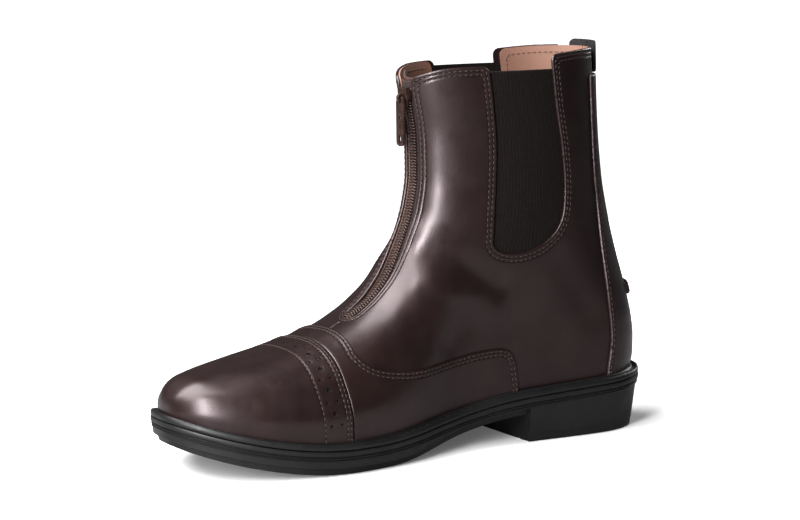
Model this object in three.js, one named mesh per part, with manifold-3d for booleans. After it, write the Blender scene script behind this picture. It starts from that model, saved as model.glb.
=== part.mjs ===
// A right paddock boot with a front zip and elastic side panels, in millimetres.
// The toe points along -Y, the inner side of the foot is +X, and the floor is z = 0.
import * as THREE from "three";
import { mergeVertices } from "three/addons/utils/BufferGeometryUtils.js";
import Module from "manifold-3d";

const wasm = await Module();
wasm.setup();

// Sole
const soleLength = 285;
const ballWidth = 107;
const heelWidth = 71;
const heelLength = 84;
const heelHeight = 25.5;
const archHeight = 14.5;
const soleThickness = 12.5;
const toeSpring = 16.5;
const flangeWidth = 6;
const treadInset = 4.4;
const ribbedBand = 4.6;
const treadDepth = 2.4;
const treadPitch = 11;
const treadSlot = 3.4;
const weltThickness = 3.6;
const insoleThickness = 3.5;

// Upper
const collarHeight = 205;
const collarDip = 17;
const legWidth = 60;
const wallThickness = 2.4;
const capThickness = 1.8;
const vampThickness = 1.2;
const backstayThickness = 1.2;
const elasticThickness = 1.4;
const elasticRecess = 0.5;
const elasticDrop = 9.5;
const backTabWidth = 22;
const backTabRise = 3;
const backTabLength = 17;
const spurRestWidth = 33;
const spurRestHeight = 7.5;
const spurRestDepth = 1.8;
const spurRestLevel = 74;

// Zip
const slotWidth = 11;
const slotFoot = 71;
const tapeWidth = 25;
const tapeThickness = 0.8;
const tapeTail = 4;
const tapeDrop = 2;
const guardWidth = 32;
const guardThickness = 1.2;
const guardTail = 1;
const guardDrop = 0.5;
const chainWidth = 6.4;
const chainThickness = 1.5;
const chainFoot = 3;
const chainDrop = 3;
const sliderWidth = 8.6;
const sliderLength = 9.5;
const sliderPlate = 1.4;
const sliderDrop = 18;
const bridgeWidth = 1.8;
const bridgeThickness = 1.2;
const pullLength = 25;
const pullWidth = 7.6;
const pullThickness = 1.2;
const pullBarRadius = 0.6;
const pullShoulder = 0.9;
const pullHoleRadius = 1.1;
const pullSlotHalf = { width: 1.3, height: 2.1 };

// Clearance between pieces that meet
const gap = 0.3;
const pivotGap = 0.45;

// How finely the curved forms are cut
const aroundSteps = 36;
const ringCount = 24;
const outlineSteps = 30;

const leather = new THREE.MeshStandardMaterial({ color: 0x33211f, roughness: 0.32 });
const elastic = new THREE.MeshStandardMaterial({ color: 0x1d1516, roughness: 0.9 });
const rubber = new THREE.MeshStandardMaterial({ color: 0x121213, roughness: 0.6 });
const lining = new THREE.MeshStandardMaterial({ color: 0xa9806b, roughness: 0.8 });
const tapeCloth = new THREE.MeshStandardMaterial({ color: 0x2a1b19, roughness: 0.85 });
const zipPlastic = new THREE.MeshStandardMaterial({ color: 0x3a2624, roughness: 0.45 });

const boot = new THREE.Group();

function clamp01(value) {
  return Math.min(1, Math.max(0, value));
}

function ease(value, from, to) {
  const t = clamp01((value - from) / (to - from));
  return t * t * (3 - 2 * t);
}

// A smooth curve through two columns of a table, with no overshoot
function curveOf(rows, key, column) {
  const sorted = [...rows].sort((a, b) => a[key] - b[key]);
  const x = sorted.map((row) => row[key]);
  const y = sorted.map((row) => row[column]);
  const last = x.length - 1;
  const step = x.slice(1).map((value, i) => (y[i + 1] - y[i]) / (value - x[i]));
  const slope = x.map((_, i) => {
    if (i === 0) return step[0];
    if (i === last) return step[last - 1];
    const product = step[i - 1] * step[i];
    return product <= 0 ? 0 : (2 * product) / (step[i - 1] + step[i]);
  });
  return (at) => {
    if (at <= x[0]) return y[0] + step[0] * (at - x[0]);
    if (at >= x[last]) return y[last] + step[last - 1] * (at - x[last]);
    let i = 0;
    while (x[i + 1] < at) i += 1;
    const width = x[i + 1] - x[i];
    const t = (at - x[i]) / width;
    const a = y[i] * (1 + 2 * t) + width * slope[i] * t;
    const b = y[i + 1] * (3 - 2 * t) - width * slope[i + 1] * (1 - t);
    return a * (1 - t) ** 2 + b * t ** 2;
  };
}

// Plan of the sole. "along" runs from 0 at the back of the heel to 1 at the tip of the toe
const breastAlong = heelLength / soleLength;
const toeTurnIn = 7;
const planRows = [
  { along: 0.0, inner: heelWidth * 0.5, outer: heelWidth * 0.5 },
  { along: 0.14, inner: heelWidth * 0.5, outer: heelWidth * 0.5 },
  { along: 0.26, inner: heelWidth * 0.48, outer: heelWidth * 0.5 },
  { along: 0.42, inner: ballWidth * 0.29, outer: ballWidth * 0.38 },
  { along: 0.58, inner: ballWidth * 0.385, outer: ballWidth * 0.535 },
  { along: 0.69, inner: ballWidth * 0.42, outer: ballWidth * 0.58 },
  { along: 1.0, inner: ballWidth * 0.42, outer: ballWidth * 0.58 },
];
const innerPlan = curveOf(planRows, "along", "inner");
const outerPlan = curveOf(planRows, "along", "outer");
const heelRound = { length: 0.14, power: 2.2 };
const toeRound = { length: 0.31, innerPower: 1.85, outerPower: 2.15 };

function alongOf(y) {
  return 0.5 - y / soleLength;
}

function yOf(along) {
  return (0.5 - along) * soleLength;
}

function rounded(share, power) {
  return Math.max(0, 1 - clamp01(share) ** power) ** (1 / power);
}

// Half the sole's width at a station, side 1 for the inner side and -1 for the outer
function soleHalf(along, side) {
  const plan = side > 0 ? innerPlan(along) : outerPlan(along);
  const toePower = side > 0 ? toeRound.innerPower : toeRound.outerPower;
  const heel = rounded((heelRound.length - along) / heelRound.length, heelRound.power);
  const toe = rounded((along - 1 + toeRound.length) / toeRound.length, toePower);
  return plan * heel * toe;
}

// The line from heel to toe that the half widths are measured from
const ballAlong = 0.69;
const ballOffset = (outerPlan(ballAlong) - innerPlan(ballAlong)) / 2;

function spine(along) {
  return ballOffset + toeTurnIn * (along - ballAlong);
}

// The sole's outline moved inwards by an inset, as a closed ring of stations
function outlineRing(stations, inset) {
  const edge = (along, side) => ({
    along,
    x: spine(along) + side * soleHalf(along, side),
    y: yOf(along),
  });
  const outer = stations.map((along) => edge(along, -1));
  const inner = stations.slice(1, -1).map((along) => edge(along, 1)).reverse();
  const ring = [...outer, ...inner];
  return ring.map((point, i) => {
    const before = ring[(i + ring.length - 1) % ring.length];
    const after = ring[(i + 1) % ring.length];
    const run = Math.hypot(after.x - before.x, after.y - before.y);
    return {
      along: point.along,
      x: point.x - (inset * (after.y - before.y)) / run,
      y: point.y + (inset * (after.x - before.x)) / run,
    };
  });
}

function evenStations(count) {
  return Array.from({ length: count + 1 }, (_, i) => (1 - Math.cos((Math.PI * i) / count)) / 2);
}

// Heights of the sole: its underside, and the rim that the welt lies on
const archEnd = 0.62;
const springStart = 0.7;
const springPower = 1.8;
const breastRun = 0.003;

function springLift(along) {
  return toeSpring * clamp01((along - springStart) / (1 - springStart)) ** springPower;
}

function underside(along) {
  if (along <= breastAlong) return 0;
  const arch = archHeight * (1 - ease(along, breastAlong, archEnd));
  return arch + springLift(along);
}

const rimRows = [
  { along: 0.0, height: heelHeight * 1.12 },
  { along: 0.1, height: heelHeight * 1.06 },
  { along: 0.22, height: heelHeight },
  { along: 0.32, height: heelHeight * 0.9 + soleThickness * 0.06 },
  { along: 0.48, height: heelHeight * 0.32 + soleThickness * 0.7 },
  { along: 0.64, height: soleThickness },
  { along: 0.72, height: soleThickness },
  { along: 1.0, height: soleThickness },
];
const rimCurve = curveOf(rimRows, "along", "height");

function rim(along) {
  return rimCurve(along) + springLift(along);
}

function seat(y) {
  return rim(alongOf(y)) + gap;
}

function aboveWelt(y) {
  return seat(y) + weltThickness + gap;
}

// A geometry as a solid that can be joined and cut
function solidOf(geometry) {
  const bare = geometry.clone();
  bare.deleteAttribute("normal");
  bare.deleteAttribute("uv");
  const merged = mergeVertices(bare, 1e-4);
  return new wasm.Manifold(
    new wasm.Mesh({
      numProp: 3,
      vertProperties: new Float32Array(merged.attributes.position.array),
      triVerts: new Uint32Array(merged.index.array),
    }),
  );
}

function geometryOf(solid) {
  const mesh = solid.getMesh();
  const geometry = new THREE.BufferGeometry();
  const position = new Float32Array(mesh.numVert * 3);
  for (let i = 0; i < mesh.numVert; i += 1) {
    const start = i * mesh.numProp;
    position.set(mesh.vertProperties.subarray(start, start + 3), i * 3);
  }
  geometry.setAttribute("position", new THREE.BufferAttribute(position, 3));
  geometry.setIndex(new THREE.BufferAttribute(new Uint32Array(mesh.triVerts), 1));
  geometry.computeVertexNormals();
  return geometry;
}

function addPiece(name, geometry, material, parent = boot) {
  const mesh = new THREE.Mesh(geometry, material);
  mesh.name = name;
  parent.add(mesh);
  return mesh;
}

function indexedGeometry(points, faces) {
  const geometry = new THREE.BufferGeometry();
  const position = new Float32Array(points.flatMap((p) => [p.x, p.y, p.z]));
  geometry.setAttribute("position", new THREE.BufferAttribute(position, 3));
  geometry.setIndex(faces.flat());
  return geometry;
}

// Cutting prisms: an outline of the side view run across the boot, or of the front view run along it
const reach = 2 * soleLength;

function pointsShape(points) {
  return new THREE.Shape(points.map(([a, b]) => new THREE.Vector2(a, b)));
}

function turned(geometry, x, y, z) {
  return solidOf(geometry.applyMatrix4(new THREE.Matrix4().makeBasis(x, y, z)));
}

const axisX = new THREE.Vector3(1, 0, 0);
const axisY = new THREE.Vector3(0, 1, 0);
const axisZ = new THREE.Vector3(0, 0, 1);

// Points are (y, z), and the prism runs from one x to another
function acrossPrism(points, fromX, toX) {
  const options = { depth: toX - fromX, bevelEnabled: false };
  const geometry = new THREE.ExtrudeGeometry(pointsShape(points), options);
  geometry.translate(0, 0, fromX);
  return turned(geometry, axisY, axisZ, axisX);
}

function sidePrism(points) {
  return acrossPrism(points, -reach, reach);
}

// Points are (x, z), and the prism runs from one y to another
function frontPrism(points, fromY, toY) {
  const options = { depth: toY - fromY, bevelEnabled: false };
  const geometry = new THREE.ExtrudeGeometry(pointsShape(points), options);
  geometry.translate(0, 0, -toY);
  return turned(geometry, axisX, axisZ, axisY.clone().negate());
}

// Rings of equal length joined into a wall. Each ring runs anticlockwise seen from above
function wallFaces(ringStarts, count) {
  const faces = [];
  for (let r = 0; r + 1 < ringStarts.length; r += 1) {
    for (let i = 0; i < count; i += 1) {
      const next = (i + 1) % count;
      const [low, high] = [ringStarts[r], ringStarts[r + 1]];
      faces.push([low + i, low + next, high + next], [low + i, high + next, high + i]);
    }
  }
  return faces;
}

// A flat fill across a ring, from its outer side to its inner side
function capFaces(start, count, up) {
  const faces = [];
  const half = count / 2;
  for (let i = 0; i < half; i += 1) {
    const a = start + i;
    const b = start + i + 1;
    const c = start + ((count - i - 1) % count);
    const d = start + ((count - i) % count);
    const quad = [[a, b, c]];
    if (i > 0) quad.push([a, c, d]);
    quad.forEach(([p, q, r]) => {
      if (p !== q && q !== r && p !== r) faces.push(up ? [p, q, r] : [p, r, q]);
    });
  }
  return faces;
}

// A solid stacked from outline rings, closed by a cap below and a cap above
function stackedSole(rings) {
  const count = rings[0].length;
  const points = rings.flat();
  const starts = rings.map((_, i) => i * count);
  const faces = [
    ...wallFaces(starts, count),
    ...capFaces(0, count, false),
    ...capFaces(starts[starts.length - 1], count, true),
  ];
  return indexedGeometry(points, faces);
}

// Outsole with a moulded heel. The tread layer is set in under the forefoot,
// and a rib runs round the side below the rim
// Insets from the sole's edge at the forefoot and at the heel, in shares of the tread's inset,
// with heights over the underside in millimetres or depths below the rim in shares of the ribbed band
const soleSideRows = [
  { fore: 1.0, heel: 1.05, up: 0 },
  { fore: 0.77, heel: 0.91, up: treadDepth + 1 },
  { fore: 0.3, heel: 0.86, up: treadDepth + 1.3 },
  { fore: 0.23, heel: 0.27, down: 1.0 },
  { fore: 0.07, heel: 0.09, down: 0.89 },
  { fore: 0.07, heel: 0.09, down: 0.72 },
  { fore: 0.23, heel: 0.23, down: 0.63 },
  { fore: 0.0, heel: 0.0, down: 0.52 },
  { fore: 0.09, heel: 0.09, down: 0.0 },
];

function soleBody() {
  const turns = [breastAlong, breastAlong + breastRun, archEnd, springStart];
  const stations = [...evenStations(outlineSteps), ...turns].sort((a, b) => a - b);
  const rings = soleSideRows.map((row) => {
    const fore = outlineRing(stations, row.fore * treadInset);
    const heel = outlineRing(stations, row.heel * treadInset);
    return fore.map((point, i) => {
      const share = ease(point.along, breastAlong, archEnd);
      const x = THREE.MathUtils.lerp(heel[i].x, point.x, share);
      const y = THREE.MathUtils.lerp(heel[i].y, point.y, share);
      const low = underside(point.along) + row.up;
      return { x, y, z: row.down === undefined ? low : rim(alongOf(y)) - row.down * ribbedBand };
    });
  });
  return solidOf(stackedSole(rings));
}

// Slots across the tread of the heel and the forefoot
const treadZones = [
  { from: 0.05, to: 0.25 },
  { from: 0.6, to: 0.93 },
];

function makeOutsole() {
  const places = treadZones.flatMap(({ from, to }) => {
    const count = Math.floor(((to - from) * soleLength) / treadPitch);
    return Array.from({ length: count }, (_, i) => from + ((i + 0.5) * (to - from)) / count);
  });
  const slots = places.map((along) => {
    const y = yOf(along);
    const front = yOf(along + treadSlot / soleLength);
    const below = -treadPitch;
    return acrossPrism(
      [
        [front, below],
        [y, below],
        [y, underside(along) + treadDepth],
        [front, underside(alongOf(front)) + treadDepth],
      ],
      -reach,
      reach,
    );
  });
  return slots.reduce((sole, slot) => sole.subtract(slot), soleBody());
}

// Welt round the whole boot, with a stitch channel between its edge and the bead beside the upper.
// "in" is a share of the flange's width, and the last two rows stand beside the upper
const weltRows = [
  { in: 0.083, up: 0 },
  { in: 0.017, up: 0.3 },
  { in: 0.05, up: 0.72 },
  { in: 0.2, up: 0.82 },
  { in: 0.5, up: 0.62 },
  { in: 0.65, up: 0.92 },
  { in: 0.8, up: 1 },
  { in: 0.95, up: 0.8 },
  { in: 0.95, up: 0 },
];

function makeWelt() {
  const stations = evenStations(outlineSteps);
  const rings = weltRows.map((row) =>
    outlineRing(stations, row.in * flangeWidth).map(({ x, y }) => ({
      x,
      y,
      z: seat(y) + row.up * weltThickness,
    })),
  );
  const count = rings[0].length;
  const starts = rings.map((_, i) => i * count);
  return indexedGeometry(rings.flat(), wallFaces([...starts, 0], count));
}

function makeInsole() {
  const stations = evenStations(outlineSteps);
  const edge = flangeWidth + wallThickness + 4 * gap;
  const rings = [0, 1].map((level) =>
    outlineRing(stations, edge).map(({ x, y }) => ({
      x,
      y,
      z: seat(y) + level * insoleThickness,
    })),
  );
  return stackedSole(rings);
}

// The upper stands on the sole along this inset outline
const featherRing = outlineRing(evenStations(outlineSteps * 4), flangeWidth);
const featherHalfCount = featherRing.length / 2;
const featherToe = featherRing[featherHalfCount].y;
const featherHeel = featherRing[0].y;
const featherSides = {
  outer: featherRing.slice(0, featherHalfCount + 1),
  inner: [...featherRing.slice(featherHalfCount), featherRing[0]].reverse(),
};

function featherHalf(y, side) {
  const points = side > 0 ? featherSides.inner : featherSides.outer;
  if (y >= featherHeel || y <= featherToe) return 0;
  let low = 0;
  let high = points.length - 1;
  while (high - low > 1) {
    const middle = (low + high) >> 1;
    if (points[middle].y > y) low = middle;
    else high = middle;
  }
  const t = (points[low].y - y) / (points[low].y - points[high].y);
  const x = THREE.MathUtils.lerp(points[low].x, points[high].x, t);
  return Math.max(0, side * (x - spine(alongOf(y))));
}

// Side view of the upper. "up" is a share of the height from the welt to the collar,
// "back" and "fore" are shares of the sole's length, measured in from the feather's two ends
const toeBase = aboveWelt(featherToe);
const heelBase = aboveWelt(featherHeel);
const overCollar = 1.04;
const frontRows = [
  { up: 0.0, back: 0.0 },
  { up: 0.035, back: 0.003 },
  { up: 0.065, back: 0.013 },
  { up: 0.097, back: 0.036 },
  { up: 0.122, back: 0.085 },
  { up: 0.149, back: 0.158 },
  { up: 0.174, back: 0.235 },
  { up: 0.205, back: 0.302 },
  { up: 0.242, back: 0.358 },
  { up: 0.291, back: 0.402 },
  { up: 0.36, back: 0.435 },
  { up: 0.445, back: 0.458 },
  { up: 0.54, back: 0.478 },
  { up: 0.64, back: 0.487 },
  { up: 0.75, back: 0.485 },
  { up: 0.87, back: 0.473 },
  { up: overCollar, back: 0.455 },
];
const backRows = [
  { up: 0.0, fore: 0.0 },
  { up: 0.04, fore: -0.005 },
  { up: 0.09, fore: -0.0055 },
  { up: 0.15, fore: -0.001 },
  { up: 0.21, fore: 0.007 },
  { up: 0.28, fore: 0.018 },
  { up: 0.35, fore: 0.03 },
  { up: 0.43, fore: 0.042 },
  { up: 0.51, fore: 0.053 },
  { up: 0.6, fore: 0.064 },
  { up: 0.75, fore: 0.074 },
  { up: 0.87, fore: 0.078 },
  { up: overCollar, fore: 0.081 },
];
const frontByUp = curveOf(frontRows, "up", "back");
const backByUp = curveOf(backRows, "up", "fore");

function frontEdge(z) {
  const up = (z - toeBase) / (collarHeight - toeBase);
  return featherToe + frontByUp(Math.max(0, up)) * soleLength;
}

function backEdge(z) {
  const up = (z - heelBase) / (collarHeight - heelBase);
  return featherHeel - backByUp(Math.max(0, up)) * soleLength;
}

// Low rings sag with the welt between toe and heel, and the sag fades out on the way up
const sagEnd = 0.3125;
const sagPower = 1.5;

function sagShare(up) {
  return Math.max(0, 1 - up / sagEnd) ** sagPower;
}

// The crest that the rings reach along the foot, up to where the leg has taken over
const crestTop = 0.54;
const profileSamples = 240;

function crestRows() {
  return Array.from({ length: profileSamples + 1 }, (_, i) => {
    const up = (i / profileSamples) * crestTop;
    const z = toeBase + up * (collarHeight - toeBase);
    const y = frontEdge(z);
    return { y, z: z + (aboveWelt(y) - toeBase) * sagShare(up) };
  });
}

const ridge = curveOf(crestRows(), "y", "z");

// Section of the foot: the feather's width below, drawn in to the ridge above
const sidePower = 2.45;
const sideBulge = 0.035;

function footHalf(y, z, side) {
  const low = aboveWelt(y);
  const rise = clamp01((z - low) / Math.max(1, ridge(y) - low));
  const lean = (featherHeel - backEdge(z)) * ease(y, 0, featherHeel * 0.75);
  const bulge = 1 + sideBulge * Math.sin(Math.PI * Math.min(1, rise * 1.6)) ** 2;
  return featherHalf(y + lean, side) * bulge * rounded(rise, sidePower);
}

// Section of the leg: an oval as wide as this table says, in shares of the collar's half width
const legRows = [
  { up: 0.0, half: 1.1 },
  { up: 0.3, half: 1.08 },
  { up: 0.5, half: 1.04 },
  { up: 0.7, half: 1.02 },
  { up: 1.0, half: 1.0 },
];
const legByUp = curveOf(legRows, "up", "half");
const legPower = 2.1;

function legHalf(y, z) {
  const front = frontEdge(z);
  const back = backEdge(z);
  const share = Math.abs((2 * y - front - back) / (back - front));
  return (legWidth / 2) * legByUp(z / collarHeight) * rounded(share, legPower);
}

const legStart = 0.28;
const legFull = 0.62;

function upperHalf(y, z, side) {
  const foot = footHalf(y, z, side);
  const leg = legHalf(y, z);
  return foot + (leg - foot) * ease(z / collarHeight, legStart, legFull);
}

// Rings are spaced along the front profile, closest together where the toe curves over
const toeCrowding = 1.6;
const toeCrowdingLength = 24;

function profileSpacing() {
  const rows = [{ up: 0, length: 0 }];
  for (let i = 1; i <= profileSamples; i += 1) {
    const before = rows[i - 1];
    const up = (i / profileSamples) * overCollar;
    const back = frontByUp(up) * soleLength;
    const run = back - frontByUp(before.up) * soleLength;
    const rise = (up - before.up) * (collarHeight - toeBase);
    const weight = 1 + toeCrowding * Math.exp(-back / toeCrowdingLength);
    rows.push({ up, length: before.length + weight * Math.hypot(run, rise) });
  }
  return rows;
}

const profile = profileSpacing();
const upByLength = curveOf(profile, "length", "up");
const profileLength = profile[profileSamples].length;

// A ring's two ends on the front and back profiles. Ring 0 is the feather line, ring 1 the top of the welt
function ringLine(ring) {
  const share = Math.max(0, ring - 1) / (ringCount - 1);
  const up = upByLength(share * profileLength);
  const frontZ = toeBase + up * (collarHeight - toeBase);
  const backZ = heelBase + up * (collarHeight - heelBase);
  return { frontZ, backZ, settle: Math.min(1, ring), dip: sagShare(up) };
}

function upperPoint(ring, angle) {
  const { frontZ, backZ, settle, dip } = ringLine(ring);
  const t = (1 - Math.cos(angle)) / 2;
  const y = THREE.MathUtils.lerp(frontEdge(frontZ), backEdge(backZ), t);
  const straight = THREE.MathUtils.lerp(frontZ, backZ, t);
  const sag = aboveWelt(y) - THREE.MathUtils.lerp(toeBase, heelBase, t);
  const above = straight + sag * dip;
  const z = THREE.MathUtils.lerp(seat(y), above, settle);
  const side = Math.sin(angle) >= 0 ? 1 : -1;
  const half = upperHalf(y, Math.max(z, aboveWelt(y)), side);
  return new THREE.Vector3(spine(alongOf(y)) + side * half, y, z);
}

function upperNormal(ring, angle) {
  const turn = 0.02;
  const climb = 0.05;
  const low = Math.max(0, ring - climb);
  const high = Math.min(ringCount, ring + climb);
  const around = upperPoint(ring, angle + turn).sub(upperPoint(ring, angle - turn));
  const upward = upperPoint(high, angle).sub(upperPoint(low, angle));
  return around.cross(upward).normalize();
}

// Points crowd together along the flanks by this share, where the sections curve inwards
const crowding = 0.35;

const upperGrid = Array.from({ length: ringCount + 1 }, (_, ring) =>
  Array.from({ length: aroundSteps }, (_, i) => {
    const turn = (2 * Math.PI * i) / aroundSteps;
    const angle = turn + (crowding / 2) * Math.sin(2 * turn);
    return { point: upperPoint(ring, angle), normal: upperNormal(ring, angle) };
  }),
);

// The rings from which pieces that don't reach the welt are made
const firstRing = { zip: 4, spurRest: 4, elastic: 8, backTab: 12 };

// A closed skin of the upper between two offsets from its surface
function shell(low, high, first = 0) {
  const rings = upperGrid.slice(first);
  const skin = (offset) =>
    rings.flatMap((ring) =>
      ring.map(({ point, normal }) => point.clone().addScaledVector(normal, offset)),
    );
  const size = rings.length * aroundSteps;
  const starts = rings.map((_, i) => i * aroundSteps);
  const outer = wallFaces(starts, aroundSteps);
  const inner = outer.map(([a, b, c]) => [a + size, c + size, b + size]);
  const foot = wallFaces([size, 0], aroundSteps);
  const head = wallFaces([size - aroundSteps, 2 * size - aroundSteps], aroundSteps);
  const faces = [...outer, ...inner, ...foot, ...head];
  return solidOf(indexedGeometry([...skin(high), ...skin(low)], faces));
}

function spline(points, count) {
  const curve = new THREE.SplineCurve(points.map(([a, b]) => new THREE.Vector2(a, b)));
  return curve.getPoints(count).map((p) => [p.x, p.y]);
}

// The top of the welt in the side view, from one place along the boot to another
function weltLine(fromY, toY, count = 9) {
  return Array.from({ length: count + 1 }, (_, i) => {
    const y = THREE.MathUtils.lerp(fromY, toY, i / count);
    return [y, aboveWelt(y) + 0.02];
  });
}

// Places on the leg in the side view: "from" is a share of its depth behind the front edge
const legHeight = collarHeight - heelBase;

function legPlace(row) {
  const z = heelBase + row.up * legHeight;
  return [frontEdge(z) + row.from * (backEdge(z) - frontEdge(z)), z];
}

// Elastic side panel, drawn in the side view from its front top corner round to its rear top corner
const elasticRows = [
  { from: 0.315, up: 1.1 },
  { from: 0.315, up: 0.75 },
  { from: 0.315, up: 0.48 },
  { from: 0.33, up: 0.425 },
  { from: 0.39, up: 0.4 },
  { from: 0.48, up: 0.4 },
  { from: 0.57, up: 0.425 },
  { from: 0.645, up: 0.48 },
  { from: 0.675, up: 0.57 },
  { from: 0.675, up: 0.7 },
  { from: 0.655, up: 0.84 },
  { from: 0.635, up: 1.1 },
];
const elasticTop = collarHeight - elasticDrop;

// The same outline drawn in by a clearance
function drawnIn(points, inset) {
  return points.map(([a, b], i) => {
    const before = points[Math.max(0, i - 1)];
    const after = points[Math.min(points.length - 1, i + 1)];
    const run = Math.hypot(after[0] - before[0], after[1] - before[1]);
    return [
      a - (inset * (after[1] - before[1])) / run,
      b + (inset * (after[0] - before[0])) / run,
    ];
  });
}

// Collar line in the side view, lower beside the zip and in front of the elastic,
// in shares of the leg's depth and of the dip beside the zip
const collarRows = [
  { from: -0.4, down: 1.0 },
  { from: -0.02, down: 0.94 },
  { from: 0.03, down: 0.735 },
  { from: 0.09, down: 0.53 },
  { from: 0.16, down: 0.435 },
  { from: 0.3, down: 0.4 },
  { from: 0.36, down: 0.4 },
  { from: 0.6, down: 0.153 },
  { from: 0.68, down: 0.106 },
  { from: 0.85, down: 0.024 },
  { from: 1.0, down: 0.0 },
  { from: 1.4, down: 0.0 },
];

function collarLine() {
  const front = frontEdge(collarHeight);
  const depth = backEdge(collarHeight) - front;
  return collarRows.map((row) => [front + row.from * depth, collarHeight - row.down * collarDip]);
}

function aboveCollar(lift = 0) {
  const line = collarLine().map(([y, z]) => [y, z + lift]);
  const top = collarHeight * 1.5;
  return [...line, [line[line.length - 1][0], top], [line[0][0], top]];
}

const slotX = spine(alongOf(frontEdge(collarHeight)));
const legMiddle = (frontEdge(collarHeight) + backEdge(collarHeight)) / 2;

// A strip up the front of the leg, with a round foot, for the zip and what lies behind it
function zipStrip(width, foot) {
  const half = width / 2;
  const top = collarHeight * 1.5;
  const arc = Array.from({ length: 9 }, (_, i) => {
    const angle = Math.PI + (Math.PI * i) / 8;
    return [slotX + half * Math.cos(angle), foot + half + half * Math.sin(angle)];
  });
  return frontPrism([...arc, [slotX + half, top], [slotX - half, top]], -soleLength, legMiddle);
}

function makeUpper() {
  const elasticHole = sidePrism(elasticRows.map(legPlace).reverse());
  return shell(-wallThickness, 0)
    .subtract(sidePrism(aboveCollar()))
    .subtract(elasticHole)
    .subtract(zipStrip(slotWidth, slotFoot));
}

function makeElastic(side) {
  const outline = drawnIn(elasticRows.map(legPlace), gap).reverse();
  const top = collarHeight * 1.5;
  const above = [
    [-soleLength, elasticTop],
    [soleLength, elasticTop],
    [soleLength, top],
    [-soleLength, top],
  ];
  const middle = spine(0.4);
  const [from, to] = side > 0 ? [middle, reach] : [-reach, middle];
  return shell(-elasticRecess - elasticThickness, -elasticRecess, firstRing.elastic)
    .intersect(acrossPrism(outline, from, to))
    .subtract(sidePrism(above));
}

// Toe cap, vamp and backstay lie over the upper. Their edges are drawn in the side view
const capEdge = { crest: 0.712, low: 0.688 };
const vampEdgeRows = [
  { along: 0.662, up: 0.3 },
  { along: 0.662, up: 0.172 },
  { along: 0.66, up: 0.142 },
  { along: 0.64, up: 0.112 },
  { along: 0.6, up: 0.094 },
  { along: 0.54, up: 0.088 },
  { along: 0.46, up: 0.1 },
  { along: 0.39, up: 0.113 },
  { along: 0.345, up: 0.112 },
  { along: 0.325, up: 0.085 },
  { along: 0.315, up: 0.0 },
];
const highUp = 0.3;

function footPlace(row) {
  return [yOf(row.along), toeBase + row.up * (collarHeight - toeBase)];
}

function makeToeCap() {
  const crest = [yOf(capEdge.crest), toeBase + highUp * (collarHeight - toeBase)];
  const front = featherToe - flangeWidth;
  const outline = [
    ...weltLine(front, yOf(capEdge.low)),
    crest,
    [front, crest[1]],
  ];
  return shell(gap, gap + capThickness, 1).intersect(sidePrism(outline));
}

function makeVamp() {
  const rear = spline(vampEdgeRows.slice(1).map(footPlace), 16).reverse();
  const lowRear = rear[0][0];
  const crestRear = footPlace(vampEdgeRows[0]);
  const crest = [yOf(capEdge.crest) + gap, crestRear[1]];
  const bottom = weltLine(yOf(capEdge.low) + gap, lowRear, 10);
  const outline = [...bottom, ...rear.slice(1), crestRear, crest];
  return shell(gap, gap + vampThickness, 1).intersect(sidePrism(outline));
}

// Backstay: a counter round the heel that narrows to a strip up the back
const backstayRows = [
  { in: 0.096, up: 0.0 },
  { in: 0.094, up: 0.1 },
  { in: 0.086, up: 0.22 },
  { in: 0.077, up: 0.3 },
  { in: 0.064, up: 0.4 },
  { in: 0.05, up: 0.52 },
  { in: 0.043, up: 0.65 },
  { in: 0.042, up: 1.1 },
];
const tabFoot = collarHeight + backTabRise - backTabLength;

function backstayOutline() {
  const edge = backstayRows.map((row) => {
    const z = heelBase + row.up * legHeight;
    return [backEdge(z) - row.in * soleLength, z];
  });
  const behind = featherHeel + 3 * flangeWidth;
  const bottom = weltLine(edge[0][0], behind, 6);
  const top = edge[edge.length - 1][1];
  return [...bottom, [behind, top], ...edge.slice(1).reverse()];
}

function belowLevel(z) {
  return [
    [-soleLength, -soleLength],
    [soleLength, -soleLength],
    [soleLength, z],
    [-soleLength, z],
  ];
}

function makeBackstay() {
  return shell(gap, gap + backstayThickness, 1)
    .intersect(sidePrism(backstayOutline()))
    .intersect(sidePrism(belowLevel(tabFoot - gap)));
}

function backStrip(width, from, to) {
  const middle = spine(alongOf(backEdge(to)));
  const half = width / 2;
  const outline = [
    [middle - half, from],
    [middle + half, from],
    [middle + half, to],
    [middle - half, to],
  ];
  return frontPrism(outline, legMiddle, soleLength);
}

function makeBackTab() {
  const strip = backStrip(backTabWidth, tabFoot, collarHeight + backTabRise);
  return shell(gap, gap + backstayThickness + gap, firstRing.backTab).intersect(strip);
}

function makeSpurRest() {
  const half = spurRestHeight / 2;
  const strip = backStrip(spurRestWidth, spurRestLevel - half, spurRestLevel + half);
  const low = 2 * gap + backstayThickness;
  return shell(low, low + spurRestDepth, firstRing.spurRest).intersect(strip);
}

// Zip: tape and guard behind the wall, chain in the slot, slider near the top
const tapeOffset = -wallThickness - gap;
const chainOffset = tapeOffset + gap;
const belowCollar = (drop) => sidePrism(aboveCollar(-drop));

function makeTape() {
  return shell(tapeOffset - tapeThickness, tapeOffset, firstRing.zip)
    .intersect(zipStrip(tapeWidth, slotFoot - tapeTail))
    .subtract(belowCollar(tapeDrop));
}

function makeGuard() {
  const offset = tapeOffset - tapeThickness - gap;
  return shell(offset - guardThickness, offset, firstRing.zip)
    .intersect(zipStrip(guardWidth, slotFoot - guardTail))
    .subtract(belowCollar(guardDrop));
}

function makeChain() {
  return shell(chainOffset, chainOffset + chainThickness, firstRing.zip)
    .intersect(zipStrip(chainWidth, slotFoot + chainFoot))
    .subtract(belowCollar(chainDrop));
}

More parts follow.
